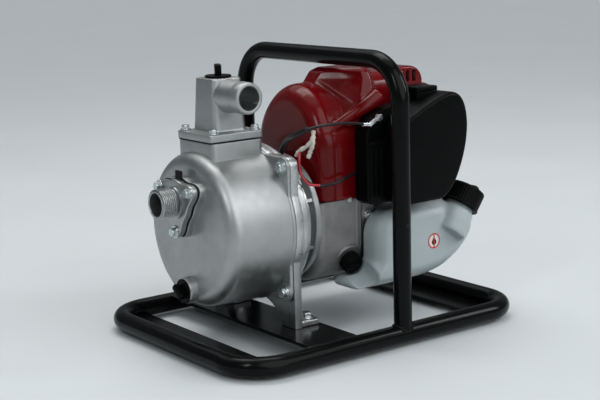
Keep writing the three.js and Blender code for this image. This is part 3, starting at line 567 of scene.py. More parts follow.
def heat_steel():
    surface = Surface("muffler_heat_stained_steel", Metallic=0.9)
    soot, dull, straw = (0.10, 0.085, 0.075), (0.21, 0.19, 0.17), (0.30, 0.25, 0.19)
    surface.colours(surface.noise(25, 6), [(0.3, soot), (0.55, dull), (0.75, straw)])
    surface.vary_roughness(surface.noise(7, 5), 0.38, 0.62)
    surface.soft_edges(0.8)
    surface.bump(surface.noise(1.2, 3), 0.03)
    return surface.material


def foam():
    surface = Surface("filter_foam", Roughness=0.95)
    mottled(surface, (0.05, 0.055, 0.06), 1.4, 0.5)
    surface.bump(surface.noise(1.2, 2), 0.5)
    return surface.material


BLACK_PAINT = paint("gloss_black_paint", (0.0022, 0.0024, 0.0024), 0.17)
CAST_SILVER = cast_metal("satin_silver_casting", (0.385, 0.398, 0.398), 0.42, 0.55, 0.022)
THREAD_SILVER = cast_metal("threaded_silver_casting", (0.39, 0.403, 0.403), 0.37, 0.55,
        0.018, edge=0.15)
BRACKET_METAL = machined("machined_aluminium", (0.50, 0.515, 0.515), 0.34)
GREY_CASTING = cast_metal("rough_grey_casting", (0.27, 0.265, 0.262), 0.54, 1.1, 0.09,
        contrast=0.16)
ZINC = plated("bluish_zinc", (0.58, 0.63, 0.63), 0.24)
STEEL = plated("ground_steel", (0.42, 0.43, 0.45), 0.3)
CHROME = plated("bright_plated_steel", (0.72, 0.73, 0.75), 0.14)
RED_PLASTIC = plastic("glossy_dark_red_plastic", (0.115, 0.0018, 0.0030), 0.15, 2.5, 0.012, 0.1,
        edge=0.8, Specular_IOR_Level=0.22)
BLACK_PLASTIC = plastic("satin_black_plastic", (0.0016, 0.0018, 0.0018), 0.34, 0.7, 0.03, 0.2,
        Specular_IOR_Level=0.06)
CABLE_BLACK = plastic("cable_jacket", (0.0045, 0.0046, 0.0052), 0.32, 1.6, 0.02, 0.3,
        Specular_IOR_Level=0.35)
RUBBER = plastic("black_rubber", (0.0055, 0.0055, 0.0055), 0.72, 0.9, 0.05, 0.3,
        Specular_IOR_Level=0.25)
WHITE_SLEEVE = plastic("woven_sleeve", (0.50, 0.48, 0.42), 0.8, 0.7, 0.35, 0.25)
RED_WIRE = plastic("red_wire_jacket", (0.42, 0.012, 0.022), 0.4, 1.2, 0.02)
STICKER_RED = plastic("sticker_red_ink", (0.50, 0.018, 0.014), 0.4, 0.5, 0.006)
STICKER_WHITE = plastic("sticker_paper", (0.68, 0.67, 0.64), 0.5, 0.5, 0.01)
TANK_WHITE = finish("tank_white_plastic", (0.35, 0.40, 0.41), (40, 0.05), (20, 4, 0.3, 0.44), 1.0,
        [((9, 2), 0.12), ((0.7, 2), 0.01)], Roughness=0.36, IOR=1.5, Subsurface_Weight=0.35,
        Subsurface_Scale=0.006, Subsurface_Radius=(1.0, 1.0, 1.0))
HEAT_STEEL = heat_steel()
FOAM = foam()

FINISH_OF = {                   # the material of each slot of the record
    "black_paint": BLACK_PAINT, "rubber_black": RUBBER, "cast_silver": CAST_SILVER,
    "raw_aluminium": CAST_SILVER, "grey_casting": GREY_CASTING, "steel": STEEL,
    "zinc_steel": ZINC, "red_plastic": RED_PLASTIC, "black_plastic": BLACK_PLASTIC,
    "tank_plastic": TANK_WHITE, "chrome_steel": CHROME, "heat_steel": HEAT_STEEL,
    "foam_grey": FOAM,
}
SLOT_OF = {material: slot for slot, material in FINISH_OF.items()}
SLOT_OF.update({
    CAST_SILVER: "cast_silver", THREAD_SILVER: "cast_silver", BRACKET_METAL: "raw_aluminium",
    CABLE_BLACK: "rubber_black", RED_WIRE: "rubber_black", WHITE_SLEEVE: "tank_plastic",
    STICKER_WHITE: "tank_plastic", STICKER_RED: "red_plastic",
})

# ---- camera, lights and floor


def make_camera():
    camera = bpy.data.objects.new("camera", bpy.data.cameras.new("camera"))
    bpy.context.scene.collection.objects.link(camera)
    camera.data.lens = 80
    camera.data.sensor_width = 36
    camera.data.clip_start = 0.02
    camera.data.clip_end = 80
    camera.location = (-0.9082, -1.2067, 0.4385)
    forward = Vector((0.58455, 0.78866, -0.19056))
    roll = radians(-1.55)
    camera.rotation_mode = "QUATERNION"
    look = forward.to_track_quat("-Z", "Y").to_matrix()
    camera.rotation_quaternion = (look @ Matrix.Rotation(roll, 3, "Z")).to_quaternion()
    bpy.context.scene.camera = camera


def hang(light, direction, location=(0, 0, 0)):
    """Puts a light in the scene, shining along a direction."""
    obj = bpy.data.objects.new(light.name, light)
    obj.location = location
    obj.rotation_mode = "QUATERNION"
    obj.rotation_quaternion = Vector(direction).to_track_quat("-Z", "Y")
    bpy.context.scene.collection.objects.link(obj)


def softbox(name, location, target, width, height, power, colour):
    light = bpy.data.lights.new(name, "AREA")
    light.shape = "RECTANGLE"
    light.size = width
    light.size_y = height
    light.energy = power
    light.color = colour
    hang(light, Vector(target) - Vector(location), location)


def wide_sun(name, direction, width, strength):
    """A very wide sun, which lights the whole floor evenly and throws soft shadows."""
    light = bpy.data.lights.new(name, "SUN")
    light.energy = strength
    light.angle = radians(width)
    light.color = (0.98, 0.985, 1.0)
    hang(light, direction)


def make_studio():
    world = bpy.data.worlds.new("studio")
    world.use_nodes = True
    background = world.node_tree.nodes["Background"]
    background.inputs["Color"].default_value = (0.78, 0.86, 0.90, 1)
    background.inputs["Strength"].default_value = 0.20
    bpy.context.scene.world = world
    wide_sun("overhead_light", (-0.05, -0.35, -1.0), 70, 0.80)
    wide_sun("front_light", (-0.10, 0.95, -0.70), 65, 1.70)
    pump = (0, 0, 0.15)
    softbox("top_softbox", (0.1, 0.5, 1.9), pump, 1.5, 0.7, 13, (1.0, 0.985, 0.96))
    softbox("right_softbox", (1.7, -1.2, 1.3), pump, 0.4, 1.0, 12, (0.97, 0.98, 1.0))
    casing = (-0.1, 0, 0.15)
    softbox("left_softbox", (-1.8, -0.85, 1.45), casing, 0.28, 0.9, 9, (0.94, 0.97, 1.0))
    surface = Surface("pale_floor", Roughness=0.6)
    mottled(surface, (0.60, 0.635, 0.645), 400, 0.012)
    surface.vary_roughness(surface.noise(200, 3), 0.55, 0.65)
    rim = [(*polar(30000, angle), 0) for angle in around(64)]
    floor = object_from("studio_floor", [(rim, [range(64)])])
    floor.data.materials.append(surface.material)
    floor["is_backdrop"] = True


# ---- carrying frame


def make_frame():
    radius = (LOOP_HIGH.z - LOOP_LOW.z) / 2
    z = (LOOP_HIGH.z + LOOP_LOW.z) / 2
    x = LOOP_HIGH.x - radius
    y = LOOP_HIGH.y - radius
    loop_corner = 46
    corners = [(-x, -y, z), (x, -y, z), (x, y, z), (-x, y, z)]
    loop = sweep(fillet_path(corners, loop_corner, closed=True), radius, 40, closed=True)
    piece("frame_loop_tube", [loop], BLACK_PAINT, "base_loop", smooth=60)

    handle_x = (HANDLE_LOW.x + HANDLE_HIGH.x) / 2
    handle_r = (HANDLE_HIGH.x - HANDLE_LOW.x) / 2
    leg_y = HANDLE_HIGH.y - handle_r
    top = HANDLE_HIGH.z - handle_r
    legs = [(handle_x, -leg_y, z), (handle_x, -leg_y, top), (handle_x, leg_y, top),
            (handle_x, leg_y, z)]
    handle = sweep(fillet_path(legs, loop_corner), handle_r, 40)
    piece("carry_handle_tube", [handle], BLACK_PAINT, "handle_tube", smooth=60)

    def scaly(t):
        return 1.7 + 0.35 * sin(t * 2 * pi * 17)

    beads = []
    for side in (-1, 1):
        path = []
        for angle in around(96):
            a, b = polar(handle_r + 0.4, angle)
            lift = sqrt(max(radius ** 2 - b * b, 0)) + 0.2
            out = min(leg_y + side * b, LOOP_HIGH.y - 2.3)
            path.append((handle_x + a, side * out, z + lift))
        beads.append(sweep(path, scaly, 10, closed=True))
    vent = rod(2.1, (handle_x, -leg_y - handle_r + 0.35, AXIS_Z + 2.5), NEAR, 0.4, 24)
    piece("handle_weld_beads", beads, BLACK_PAINT, smooth=60)
    piece("handle_vent_plug", [vent], RUBBER)


# ---- fasteners


def hex_bolt(base, direction, head_r, head_h, shank_r, shank_l):
    """A hexagon head with a 30-degree chamfer, a split spring washer, a flat washer and a shank."""
    def hexagon(radius, height, angle):
        wedge = (angle % (pi / 3)) - pi / 6
        flat = head_r * cos(pi / 6) / cos(wedge)
        return min(radius, flat)

    axis = Vector(direction).normalized()
    base = Vector(base)
    apothem = head_r * cos(pi / 6)
    flat_r, spring_r = head_r * 1.34, head_r * 0.98
    flat_top, spring_top = 1.0, 2.2
    top = spring_top + head_h
    flat_washer = turned([(shank_r, 0), (head_r * 1.3, 0), (flat_r, 0.25), (flat_r, 0.75),
            (head_r * 1.3, flat_top), (shank_r, flat_top), (shank_r, 0)], base, axis, 40)
    spring = turned([(shank_r, flat_top), (spring_r, flat_top), (spring_r, spring_top),
            (shank_r, spring_top), (shank_r, flat_top)], base, axis, 40)
    head = turned([(0, spring_top), (head_r, spring_top), (head_r, top - 1.3),
            (head_r * 0.985, top - 1.0), (apothem * 1.03, top - 0.5), (apothem * 0.92, top),
            (0, top)], base, axis, 72, hexagon)
    shank = rod(shank_r, base + axis * 0.5, -axis, shank_l, 24)
    return [flat_washer, spring, head, shank]


def bolts(name, node, seats, direction, *sizes):
    """A bolt on every seat; sizes are the head's radius and height, then the shank's."""
    for i, seat in enumerate(seats, 1):
        piece(f"{name}_{i}", hex_bolt(seat, direction, *sizes), ZINC, f"{node}_{i}")


def make_bolts():
    corners = [(FLANGE_X - 0.4, sy * CORNER_BOLT, AXIS_Z + sz * CORNER_BOLT) for sy, sz in CORNERS]
    bolts("casing_corner_bolt", "corner_bolt", corners, AHEAD, 6.0, 4.2, 3, 16)
    foot_z = span("foot_bolt_1")[1].z - 5.8
    feet = [(*middle(node).xy, foot_z) for node in ("foot_bolt_1", "foot_bolt_2")]
    bolts("bracket_foot_bolt", "foot_bolt", feet, UP, 6.2, 4.2, 3, 13)
    port = [(-181.8, y, SUCTION_Z + z) for y, z in SUCTION_BOLTS]
    bolts("port_bolt", "suction_bolt", port, AHEAD, 5.2, 3.6, 2.6, 17)
    tower = [(TOWER_X + sx * 26.8, sy * 27.6, TOWER_LOW.z + 8.3) for sx, sy in CORNERS]
    bolts("tower_flange_bolt", "tower_bolt", tower, UP, 4.4, 3.2, 2.1, 20)


# ---- pump


def square_reach(angle, half, corner):
    """How far a rounded square reaches from its middle in one direction."""
    c, s = abs(cos(angle)), abs(sin(angle))
    inner = half - corner
    reach = half / max(c, s)
    if min(c, s) * reach > inner:
        b = inner * (c + s)
        reach = b + sqrt(b * b - 2 * inner * inner + corner * corner)
    return reach


def flange_outline(grow=0.0):
    points = []
    for angle in around(288):
        reach = max(square_reach(angle, FLANGE_HALF + grow, 11), FLANGE_R + grow)
        y, z = polar(reach, angle)
        points.append((y, AXIS_Z + z))
    return points


def lobed_outline(grow=0.0):
    """Three bolt lobes blended round the suction port."""
    points = []
    for angle in around(180):
        reach = 24.5
        for y, z in SUCTION_BOLTS:
            near = max(cos(atan2(z, y) - angle), 0)
            reach += (hypot(y, z) - 18.5) * near ** 14
        y, z = polar(reach + grow, angle)
        points.append((y, SUCTION_Z + z))
    return points


def drum_profile(inset, end_x, steps=14):
    face_flat = 69.5
    corner = DRUM_R - face_flat
    profile = [(0, FACE_X + inset)]
    for angle in evenly(pi / 2, steps):
        profile.append((face_flat + (corner - inset) * sin(angle),
                FACE_X + inset + corner * (1 - cos(angle))))
    profile += [(DRUM_R + 1.5 - inset, end_x), (0, end_x)]
    return profile


def make_casing():
    pump_axis = (0, 0, AXIS_Z)
    drum = turned(drum_profile(0, FLANGE_X + 1), pump_axis, ALONG, 144)
    flange = slab(flange_outline(), "x", FLANGE_X, PLATE_X0 - 0.3, 1.0, 0.4)
    neck = plate(-152.5, -34.6, -86.5, 34.6, 6, "z", AXIS_Z + 50, TOWER_LOW.z - 1.5, 0.5)
    boss = slab(lobed_outline(1.5), "x", FACE_X - 7.6, FACE_X + 3, 1.2, 0.1)
    drain = turned([(0, -152), (15.5, -152), (14.6, -166), (14.0, -172.6), (12.6, -174), (0, -174)],
            (0, 0, DRAIN_Z), ALONG, 64)
    wall = 5
    cuts = [
        turned(drum_profile(wall, PLATE_X0 + 1), pump_axis, ALONG, 72),
        plate(-140, -22, -99, 22, 6, "z", AXIS_Z + 60, TOWER_LOW.z + 1, 0.1),
        rod(BORE_R + 1, (FACE_X - 9, 0, SUCTION_Z), ALONG, 20),
        rod(8.4, (-176, 0, DRAIN_Z), ALONG, 30),
    ]
    corners = [(sy * CORNER_BOLT, AXIS_Z + sz * CORNER_BOLT) for sy, sz in CORNERS]
    cuts += [rod(9.4, (FLANGE_X - 15, *corner), ALONG, 15.2) for corner in corners]
    obj = fused("pump_casing_shell", [drum, flange, neck, boss, drain], cuts)
    dress(obj, CAST_SILVER, "pump_casing")
    rim = [(8.2, -0.6), (10.4, -0.6), (10.4, 0.5), (9.9, 0.9), (8.2, 0.9), (8.2, -0.6)]
    rims = [turned(rim, (FLANGE_X, *corner), AHEAD, 48) for corner in corners]
    piece("casing_bolt_seats", rims, CAST_SILVER)


def thread_radius(crest, depth, pitch):
    def reach(radius, height, angle):
        phase = (height / pitch - angle / (2 * pi)) % 1
        tooth = min(1.0, max(0.0, 3.2 * abs(phase - 0.5) - 0.3))
        return radius - depth * tooth if radius > crest - depth else radius
    return reach


def make_suction_port():
    mouth = FLANGE_LOW.x
    thread_end = -184.5
    crest = 16.6
    steps = 110
    profile = [(BORE_R, 0.6), (BORE_R + 0.6, 0), (crest - 1.2, 0)]
    for i in range(steps + 1):
        height = 0.4 + (thread_end - mouth - 1.9) * i / steps
        ease = min(1, i / 4, (steps - i) / 6)
        profile.append((crest - 1.1 * (1 - ease), height))
    base = thread_end - mouth
    profile += [(crest - 1.4, base - 1.0), (crest - 1.4, base - 0.2), (crest + 0.9, base),
            (crest + 1.4, base + 0.5), (crest + 1.4, base + 3.6), (BORE_R, base + 4), (BORE_R, 0.6)]
    pipe = turned(profile, (mouth, 0, SUCTION_Z), ALONG, 120,
            thread_radius(crest - 0.5, 1.3, G1_PITCH))
    bore = rod(BORE_R, (-190, 0, SUCTION_Z), ALONG, 20, 120)
    flange = fused("suction_port", [slab(lobed_outline(), "x", -181.5, FLANGE_HIGH.x, 1.6, 0.5)],
            [bore])
    combine(flange, union=[pipe])
    dress(flange, THREAD_SILVER, "suction_flange", smooth=40)

    x0, x1 = (corner.x for corner in span("suction_gasket"))
    sheet = slab(lobed_outline(0.9), "x", x0, x1, 0.2)
    tab = plate(-5.4, SUCTION_Z + 20, 5.4, SUCTION_Z + 33.5, 1, "x", x0 - 1.5, x1, 0.4)
    bore = rod(BORE_R, (-190, 0, SUCTION_Z), ALONG, 20, 96)
    sheet = fused("port_gasket", [sheet, tab], [bore])
    dress(sheet, RUBBER, "suction_gasket")


def make_tower():
    base_z = TOWER_LOW.z
    top_z = TOWER_HIGH.z
    shrink_top = 0.864
    outline = rounded_rect(-22, -22, 22, 22, 7.5)

    def ring(size, z):
        return [Vector((TOWER_X + x * size, y * size, z)) for x, y in outline]

    rings = []
    for share in (0.0, 0.5, 1.0):
        z = base_z + 7 + (top_z - 1.4 - base_z - 7) * share
        rings.append(ring(1 - (1 - shrink_top) * share, z))
    for angle in evenly(pi / 2, 4)[1:]:
        size = shrink_top * (1 - (1.4 / 19) * (1 - cos(angle)))
        rings.append(ring(size, top_z - 1.4 + 1.4 * sin(angle)))
    taper = loft(rings)
    foot_rings = []
    for angle in evenly(pi / 2, 5):
        grow = 1 + (3.0 / 22) * (1 - sin(angle))
        foot_rings.append(ring(grow, base_z + 8 + 3 * (1 - cos(angle)) - 0.4))
    foot_fillet = loft(foot_rings)
    flange = plate(TOWER_X - 34.5, -33.5, TOWER_X + 34.5, 33.5, 4, "z", base_z,
            base_z + 8, 0.8, 1.2)
    spout = turned([(0, 0), (18.4, 0), (17.9, 8), (16.1, 25.6), (16.1, 26.2), (17.0, 27.0),
            (17.35, 28.0), (16.9, 40.4), (16.4, 41.4), (15.6, 41.9), (0, 41.9)],
            (TOWER_X, -17, SPOUT_Z), NEAR, 112)
    cuts = [
        rod(BORE_R, (TOWER_X, -8, SPOUT_Z), NEAR, 60, 96),
        turned([(0, 0), (BORE_R - 0.5, 0), (BORE_R + 1.1, 1.6), (0, 1.6)],
               (TOWER_X, -57.6, SPOUT_Z), NEAR, 96),
        plate(TOWER_X - 15.5, -15.5, TOWER_X + 15.5, 15.5, 6, "z", base_z - 1, top_z - 7.5, 1),
        rod(9.4, (TOWER_X, 0, top_z - 12), UP, 14, 48),
    ]
    obj = fused("discharge_tower_casting", [flange, taper, foot_fillet, spout], cuts)
    dress(obj, CAST_SILVER, "discharge_tower")

    low, high = span("discharge_gasket")
    sheet = plate(low.x, low.y, high.x, high.y, 4, "z", low.z, high.z, 0.1)
    channel = plate(-140, -22, -99, 22, 6, "z", low.z - 2, high.z + 2, 0.1)
    gasket = fused("tower_gasket", [sheet], [channel])
    dress(gasket, RUBBER, "discharge_gasket")


def wing_plug(name, node, seat, direction, disc_r, wing_w, wing_h, wing_t, wing_side,
        shank_r, shank_l):
    """A screw plug: a rimmed disc with an upright wing for the fingers."""
    axis = Vector(direction)
    side = Vector(wing_side)
    other = axis.cross(side)
    seat = Vector(seat)
    disc = turned([(0, 0), (disc_r - 0.6, 0), (disc_r, 0.5), (disc_r, 1.5), (disc_r - 0.8, 2.2),
            (disc_r - 2.2, 2.2), (disc_r - 2.7, 1.7), (shank_r, 1.9), (0, 2.1)], seat, axis, 64)
    rings = []
    for angle in evenly(pi, 8):
        inset = 0.9 * (1 - sin(angle))
        thick = -wing_t / 2 * cos(angle)
        outline = offset(rounded_rect(-wing_w / 2, 0, wing_w / 2, wing_h, 2.8), inset)
        waist = [(a * (1 - 0.16 * max(0, 1 - b / wing_h)), b) for a, b in outline]
        rings.append([seat + side * a + axis * (b + 1.4) + other * thick for a, b in waist])
    shank = rod(shank_r, seat + axis * 0.5, -axis, shank_l, 40)
    piece(name, [disc, loft(rings), shank], BLACK_PLASTIC, node, node, 40)


def make_plugs():
    wing_plug("priming_plug", "filler_plug", (TOWER_X, 0, TOWER_HIGH.z + 0.4), UP, 14.5, 20, 12.5,
            7, (0.5, 0.866, 0), 9, 9)
    wing_plug("drain_screw_plug", "drain_plug", (-174.4, 0, DRAIN_Z), AHEAD, 13.5, 20, 9, 6.5,
            (0, 0.75, 0.66), 8, 16)


def leg_outline():
    foot = span("cross_bar")[1].z + 0.3
    half, inner = 80, 54
    arch_top = AXIS_Z - FLANGE_R + 6
    points = [(-half, foot), (-inner, foot)]
    bend(points, (-inner + 6, arch_top), (0, arch_top), 12)
    bend(points, (inner - 6, arch_top), (inner, foot), 12)
    points += [(half, foot), (half, AXIS_Z), (-half, AXIS_Z)]
    return points


def make_bracket():
    foot = span("cross_bar")[1].z + 0.3
    face = slab(flange_outline(), "x", PLATE_X0, PLATE_X1, 0.7, 0.9)
    legs = slab(leg_outline(), "x", PLATE_X0, PLATE_X1, 0.5, 0.8)
    depth = BRACKET_X1 - PLATE_X0
    body = turned([(0, 1), (FLANGE_R - 0.6, 1), (FLANGE_R - 0.6, 14.4), (FLANGE_R - 1.6, 15),
            (FLANGE_R - 3.4, 15.2), (FLANGE_R - 3.6, depth - 4), (FLANGE_R - 5, depth - 2.6),
            (FLANGE_R - 5.4, depth), (0, depth)], (PLATE_X0, 0, AXIS_Z), ALONG, 144)
    solids = [face, legs, body]
    for y0, y1 in ((-78, -54), (54, 78)):
        solids.append(plate(PLATE_X0 + 1, y0, -48, y1, 4, "z", foot, foot + 6, 0.8))
        for y in (y0 + 2, y1 - 4):
            rib = [(PLATE_X1 - 2, foot + 4), (PLATE_X1 + 9, foot + 4), (PLATE_X1 - 2, foot + 24)]
            solids.append(slab(rib, "y", y, y + 2.5, 0.2))
    recess = FLANGE_R - 18
    cuts = [
        rod(recess, (PLATE_X1 + 4, 0, AXIS_Z), ALONG, 20, 96),
        rod(19.8, (PLATE_X0 - 1, 0, AXIS_Z), ALONG, 30, 64),
    ]
    for y in (-66, 66):
        cuts.append(rod(3.6, (middle("foot_bolt_1").x, y, foot - 2), UP, 12, 32))
    obj = fused("engine_mounting_bracket", solids, cuts)
    dress(obj, BRACKET_METAL, "mounting_bracket")

    length = span("engine_adapter")[1].x - BRACKET_X1 - 0.3
    start = (BRACKET_X1 + 0.3, 0, AXIS_Z)
    ring = turned([(24, -6), (69, -6), (69, 4), (68, 5), (63, 6), (62, 7), (62, length - 9),
            (63, length - 8), (71, length - 7), (72, length - 6), (72, length - 0.6),
            (71.4, length), (55, length), (54, 6), (24, 0), (24, -6)], start, ALONG, 120)
    ribs = []
    profile = [(2, -3.5), (length - 5, -3.5), (length - 5, 6), (2, 2.5)]
    for outward, sideways in spokes(8, pi / 8):
        centre = Vector(start) + outward * 64.5
        inner = [centre + Vector((a, 0, 0)) + outward * b for a, b in profile]
        ribs.append(loft([[point + sideways * side for point in inner] for side in (-2, 2)]))
    piece("engine_adapter_ring", [ring, *ribs], CAST_SILVER, "engine_adapter", slot="raw_aluminium")
    screws = []
    for outward, _ in spokes(4, pi / 4):
        seat = Vector((BRACKET_X1 + 0.4, 0, AXIS_Z)) + outward * 76.5 * 0.985
        screws += hex_bolt(seat, ALONG, 5.2, 4, 2.4, 3)
    piece("adapter_screws", screws, ZINC)


# ---- engine castings


def engine_outline(half, bottom, radius, top):
    points = arc((half - radius, bottom + radius), radius, -pi / 2, 0, 14)
    points += [(half, (bottom + radius + top) / 2), (half, top), (-half, top),
            (-half, (bottom + radius + top) / 2)]
    points += arc((-half + radius, bottom + radius), radius, pi, 1.5 * pi, 14)
    return points


def make_engine_castings():
    low, high = span("fan_housing")
    seam = high.x
    barrel = slab(engine_outline(high.y, low.z, 46, high.z), "x", low.x, seam, 13, 0.4, steps=8)
    rim = slab(engine_outline(high.y + 0.5, low.z - 0.5, 46.5, high.z), "x", seam - 4,
            seam, 1.0, 0.2)
    bore = rod(24, (low.x - 1, 0, AXIS_Z), ALONG, 20, 64)
    housing = fused("fan_housing_casting", [barrel, rim], [bore])
    dress(housing, GREY_CASTING, "fan_housing", smooth=35)

    low, high = span("crankcase")
    flank = slab(engine_outline(high.y, 60, 46, high.z), "x", low.x, 50, 0.4, 5, steps=6)
    flange = slab(engine_outline(high.y + 2.5, 57.5, 46.5, high.z), "x", low.x, low.x + 4, 0.2, 1.2)
    block = plate(-38, 84, 38, high.z, 10, "x", 45, high.x, 0.4, 3)
    lug = plate(36, -6, 48, 6, 2, "z", low.z, 66, 1.0)
    solids = [flank, flange, block, lug]
    for side in (-1, 1):
        solids.append(rod(6.5, (36, side * 46, 132), (0, side, 0), 15.5, 40, 1.2))
        solids.append(rod(4.6, (low.x, side * 54, 146), ALONG, 14, 32, 1.0))
        solids.append(rod(4.6, (low.x, side * 56.5, 112), ALONG, 14, 32, 1.0))
    casting = fused("crankcase_casting", solids, [rod(9.5, (low.x - 1, 0, AXIS_Z), ALONG, 20, 48)])
    moulded(casting, 1.3, 4)
    dress(casting, GREY_CASTING, "crankcase", smooth=35)
    pillar = rod(4.8, (9.5, -60.2, 150), UP, 17, 32, 0.8)
    piece("cooling_shroud_post", [pillar], CAST_SILVER, slot="grey_casting")
    screws = []
    for side in (-1, 1):
        screws += hex_bolt((36, side * 61.6, 132), (0, side, 0), 4.2, 2.4, 2, 3)
    piece("crankcase_side_screws", screws, ZINC)


# ---- engine covers


def hood_outline(inset, steps=14):
    half = COVER_HIGH.y - inset
    top = 281 - inset
    shoulder = 212
    low = COVER_LOW.z
    points = [(-half, low), (half, low)]
    points += [(half, low + (shoulder - low) * i / 6) for i in range(1, 7)]
    points += cubic((half, shoulder), (half, 246), (30 - inset, top), (0, top), steps)
    points += cubic((0, top), (-30 + inset, top), (-half, 246), (-half, shoulder), steps)
    points += [(-half, shoulder - (shoulder - low) * i / 6) for i in range(1, 6)]
    return points


def hood_body(inset, front_x, end_x, rounding, steps=9):
    """The domed box of the hood, with a round nose towards the pump."""
    middle_z = 190
    base = hood_outline(inset)
    rings = []
    for angle in evenly(pi / 2, steps):
        pull = rounding * 0.9 * (1 - sin(angle))
        x = front_x + rounding * (1 - cos(angle))
        ring = []
        for y, z in base:
            share = max(1 - pull / hypot(y, z - middle_z), 0.05)
            level = z if z <= COVER_LOW.z + 1 else middle_z + (z - middle_z) * share
            ring.append(Vector((x, y * share, level)))
        rings.append(ring)
    rings.append([Vector((end_x, y, z)) for y, z in base])
    return loft(rings)


def make_hood():
    seam_x = COVER_HIGH.x
    body = hood_body(0, COVER_LOW.x, seam_x, 20)
    rings = []
    for z, corners, rounding in (
            (236, [(-26, 16), (-24, -16), (8, -66), (seam_x, -67), (seam_x, 20)], 5),
            (257, [(-17, 9), (-15, -10), (24, -63), (seam_x, -65), (seam_x, 14)], 4.5),
            (286, [(0, 5), (2, -13), (38, -55), (seam_x, -57), (seam_x, 8)], 4),
            (293.5, [(5, 4), (8, -16), (39, -51.5), (seam_x, -53), (seam_x, 5)], 4),
            (COVER_HIGH.z - 0.3, [(15, 1), (17, -18), (40, -46), (seam_x, -47), (seam_x, 1)], 4)):
        rings.append([Vector((x, y, z)) for x, y in rounded_polygon(corners, rounding)])
    raised = loft(rings)
    ridge = wire([(-12, -56, 233), (4, -61, 243), (20, -64.5, 251), (36, -66, 259),
            (seam_x, -66, 266)], lambda t: 4.5 + 5.5 * t, 24)
    column = turned([(0, 0), (11, 0), (11, 60), (9, 72), (0, 78)],
            (-10, -54.2, COVER_LOW.z), UP, 40)
    hood = fused("engine_hood_front", [body, raised, ridge, column])
    moulded(hood, 1.25, 7)
    clearance = 3
    cuts = [
        plate(seam_x, -100, seam_x + 40, 100, 1, "z", 100, 330, 0.1),
        plate(-60, -100, 90, 100, 1, "z", 100, COVER_LOW.z, 0.1),
        hood_body(clearance, COVER_LOW.x + clearance, seam_x + 5, 18),
    ]
    slots = [(21, -14), (31, -26)]
    for x, y in slots:
        cuts.append(plate(x, y, x + 14, y + 4.5, 2, "z", 288, 310, 0.1))
    combine(hood, difference=cuts)
    dress(hood, RED_PLASTIC, "top_cover", smooth=40)
    # Black sheets set just under the two top slots paint the shade inside them; they stand for no
    # real part of the hood.
    dark = [plate(x - 2, y - 1.5, x + 16, y + 6, 2, "z", 286, 288.5, 0.1) for x, y in slots]
    piece("hood_slot_painted_shade_sheets", dark, BLACK_PLASTIC)
    edge = [(-66.2, 262), (-64, 268), (-60, 278), (-56.3, 286), (-52.8, 293), (-47, 297)]
    bead = wire([(seam_x - 0.3, y, z) for y, z in edge], 0.55, 12)
    piece("hood_seam_bead", [bead], RED_PLASTIC, smooth=60)


def make_rear_cover():
    x0 = REAR_LOW.x
    x1 = REAR_HIGH.x
    top = REAR_HIGH.z
    tall_x, tall_top, back_top = 104, top - 3.2, 272
    tall = slab(rounded_rect(-57, REAR_LOW.z, 57, tall_top, 20, 10), "x", x0, tall_x, 0.5, 3)
    back = slab(rounded_rect(-57, 184, 57, back_top, 20, 10), "x", tall_x - 1, x1, 0.5, 8, steps=6)
    arch = slab(rounded_rect(84, 240, 133.8, top, 19, 10), "y", -47.8, -12.2, 2.5)
    obj = moulded(moulded(object_from("engine_hood_rear", [tall, back, arch]), 1.3), 1.3, 5)
    cuts = [
        plate(-54, 140, 54, tall_top - 3, 18, "x", x0 - 1, tall_x - 3, 0.1),
        plate(-54, 187, 54, back_top - 3, 18, "x", tall_x - 10, x1 - 3, 0.1),
        slab(rounded_rect(88, 240, 130, top - 4, 15, 8), "y", -44, -16, 0.1),
        plate(x0 - 7, -66, 100, -41, 3, "z", 158, 232, 0.1),
        plate(x0 - 7, 41, 100, 66, 3, "z", 158, 232, 0.1),
    ]
    for x in (107.5, 117):
        cuts.append(plate(x, 276, x + 5.5, 289, 2.4, "y", -60, 0, 0.1))
    for z in (206, 220, 234, 248):
        cuts.append(plate(-34, z, 34, z + 5, 2.4, "x", x1 - 12, x1 + 4, 0.1))
    combine(obj, difference=cuts)
    dress(obj, RED_PLASTIC, "rear_cover", smooth=40)


# ---- air cleaner


def cleaner_outline(left):
    """The rounded D of the air cleaner, seen from its side."""
    low = CLEANER_LOW.z
    right = CLEANER_HIGH.x
    points = [(left, low + 4), (left, low + 40), (left, 222)]
    bend(points, (left, 244), (left + 20, 250), 8)
    bend(points, (92, 267), (112, 269), 12)
    bend(points, (right - 2, 269.5), (right, 232), 18)
    bend(points, (right + 0.2, 203), (122, 172), 12)
    bend(points, (111, 152), (96, low), 8)
    points.append((left + 6, low))
    return points


def across(outline, z):
    """Where a level line enters and leaves an outline."""
    found = []
    for i in range(len(outline)):
        (xa, za), (xb, zb) = outline[i - 1], outline[i]
        if (za - z) * (zb - z) < 0:
            found.append(xa + (xb - xa) * (z - za) / (zb - za))
    return min(found), max(found)


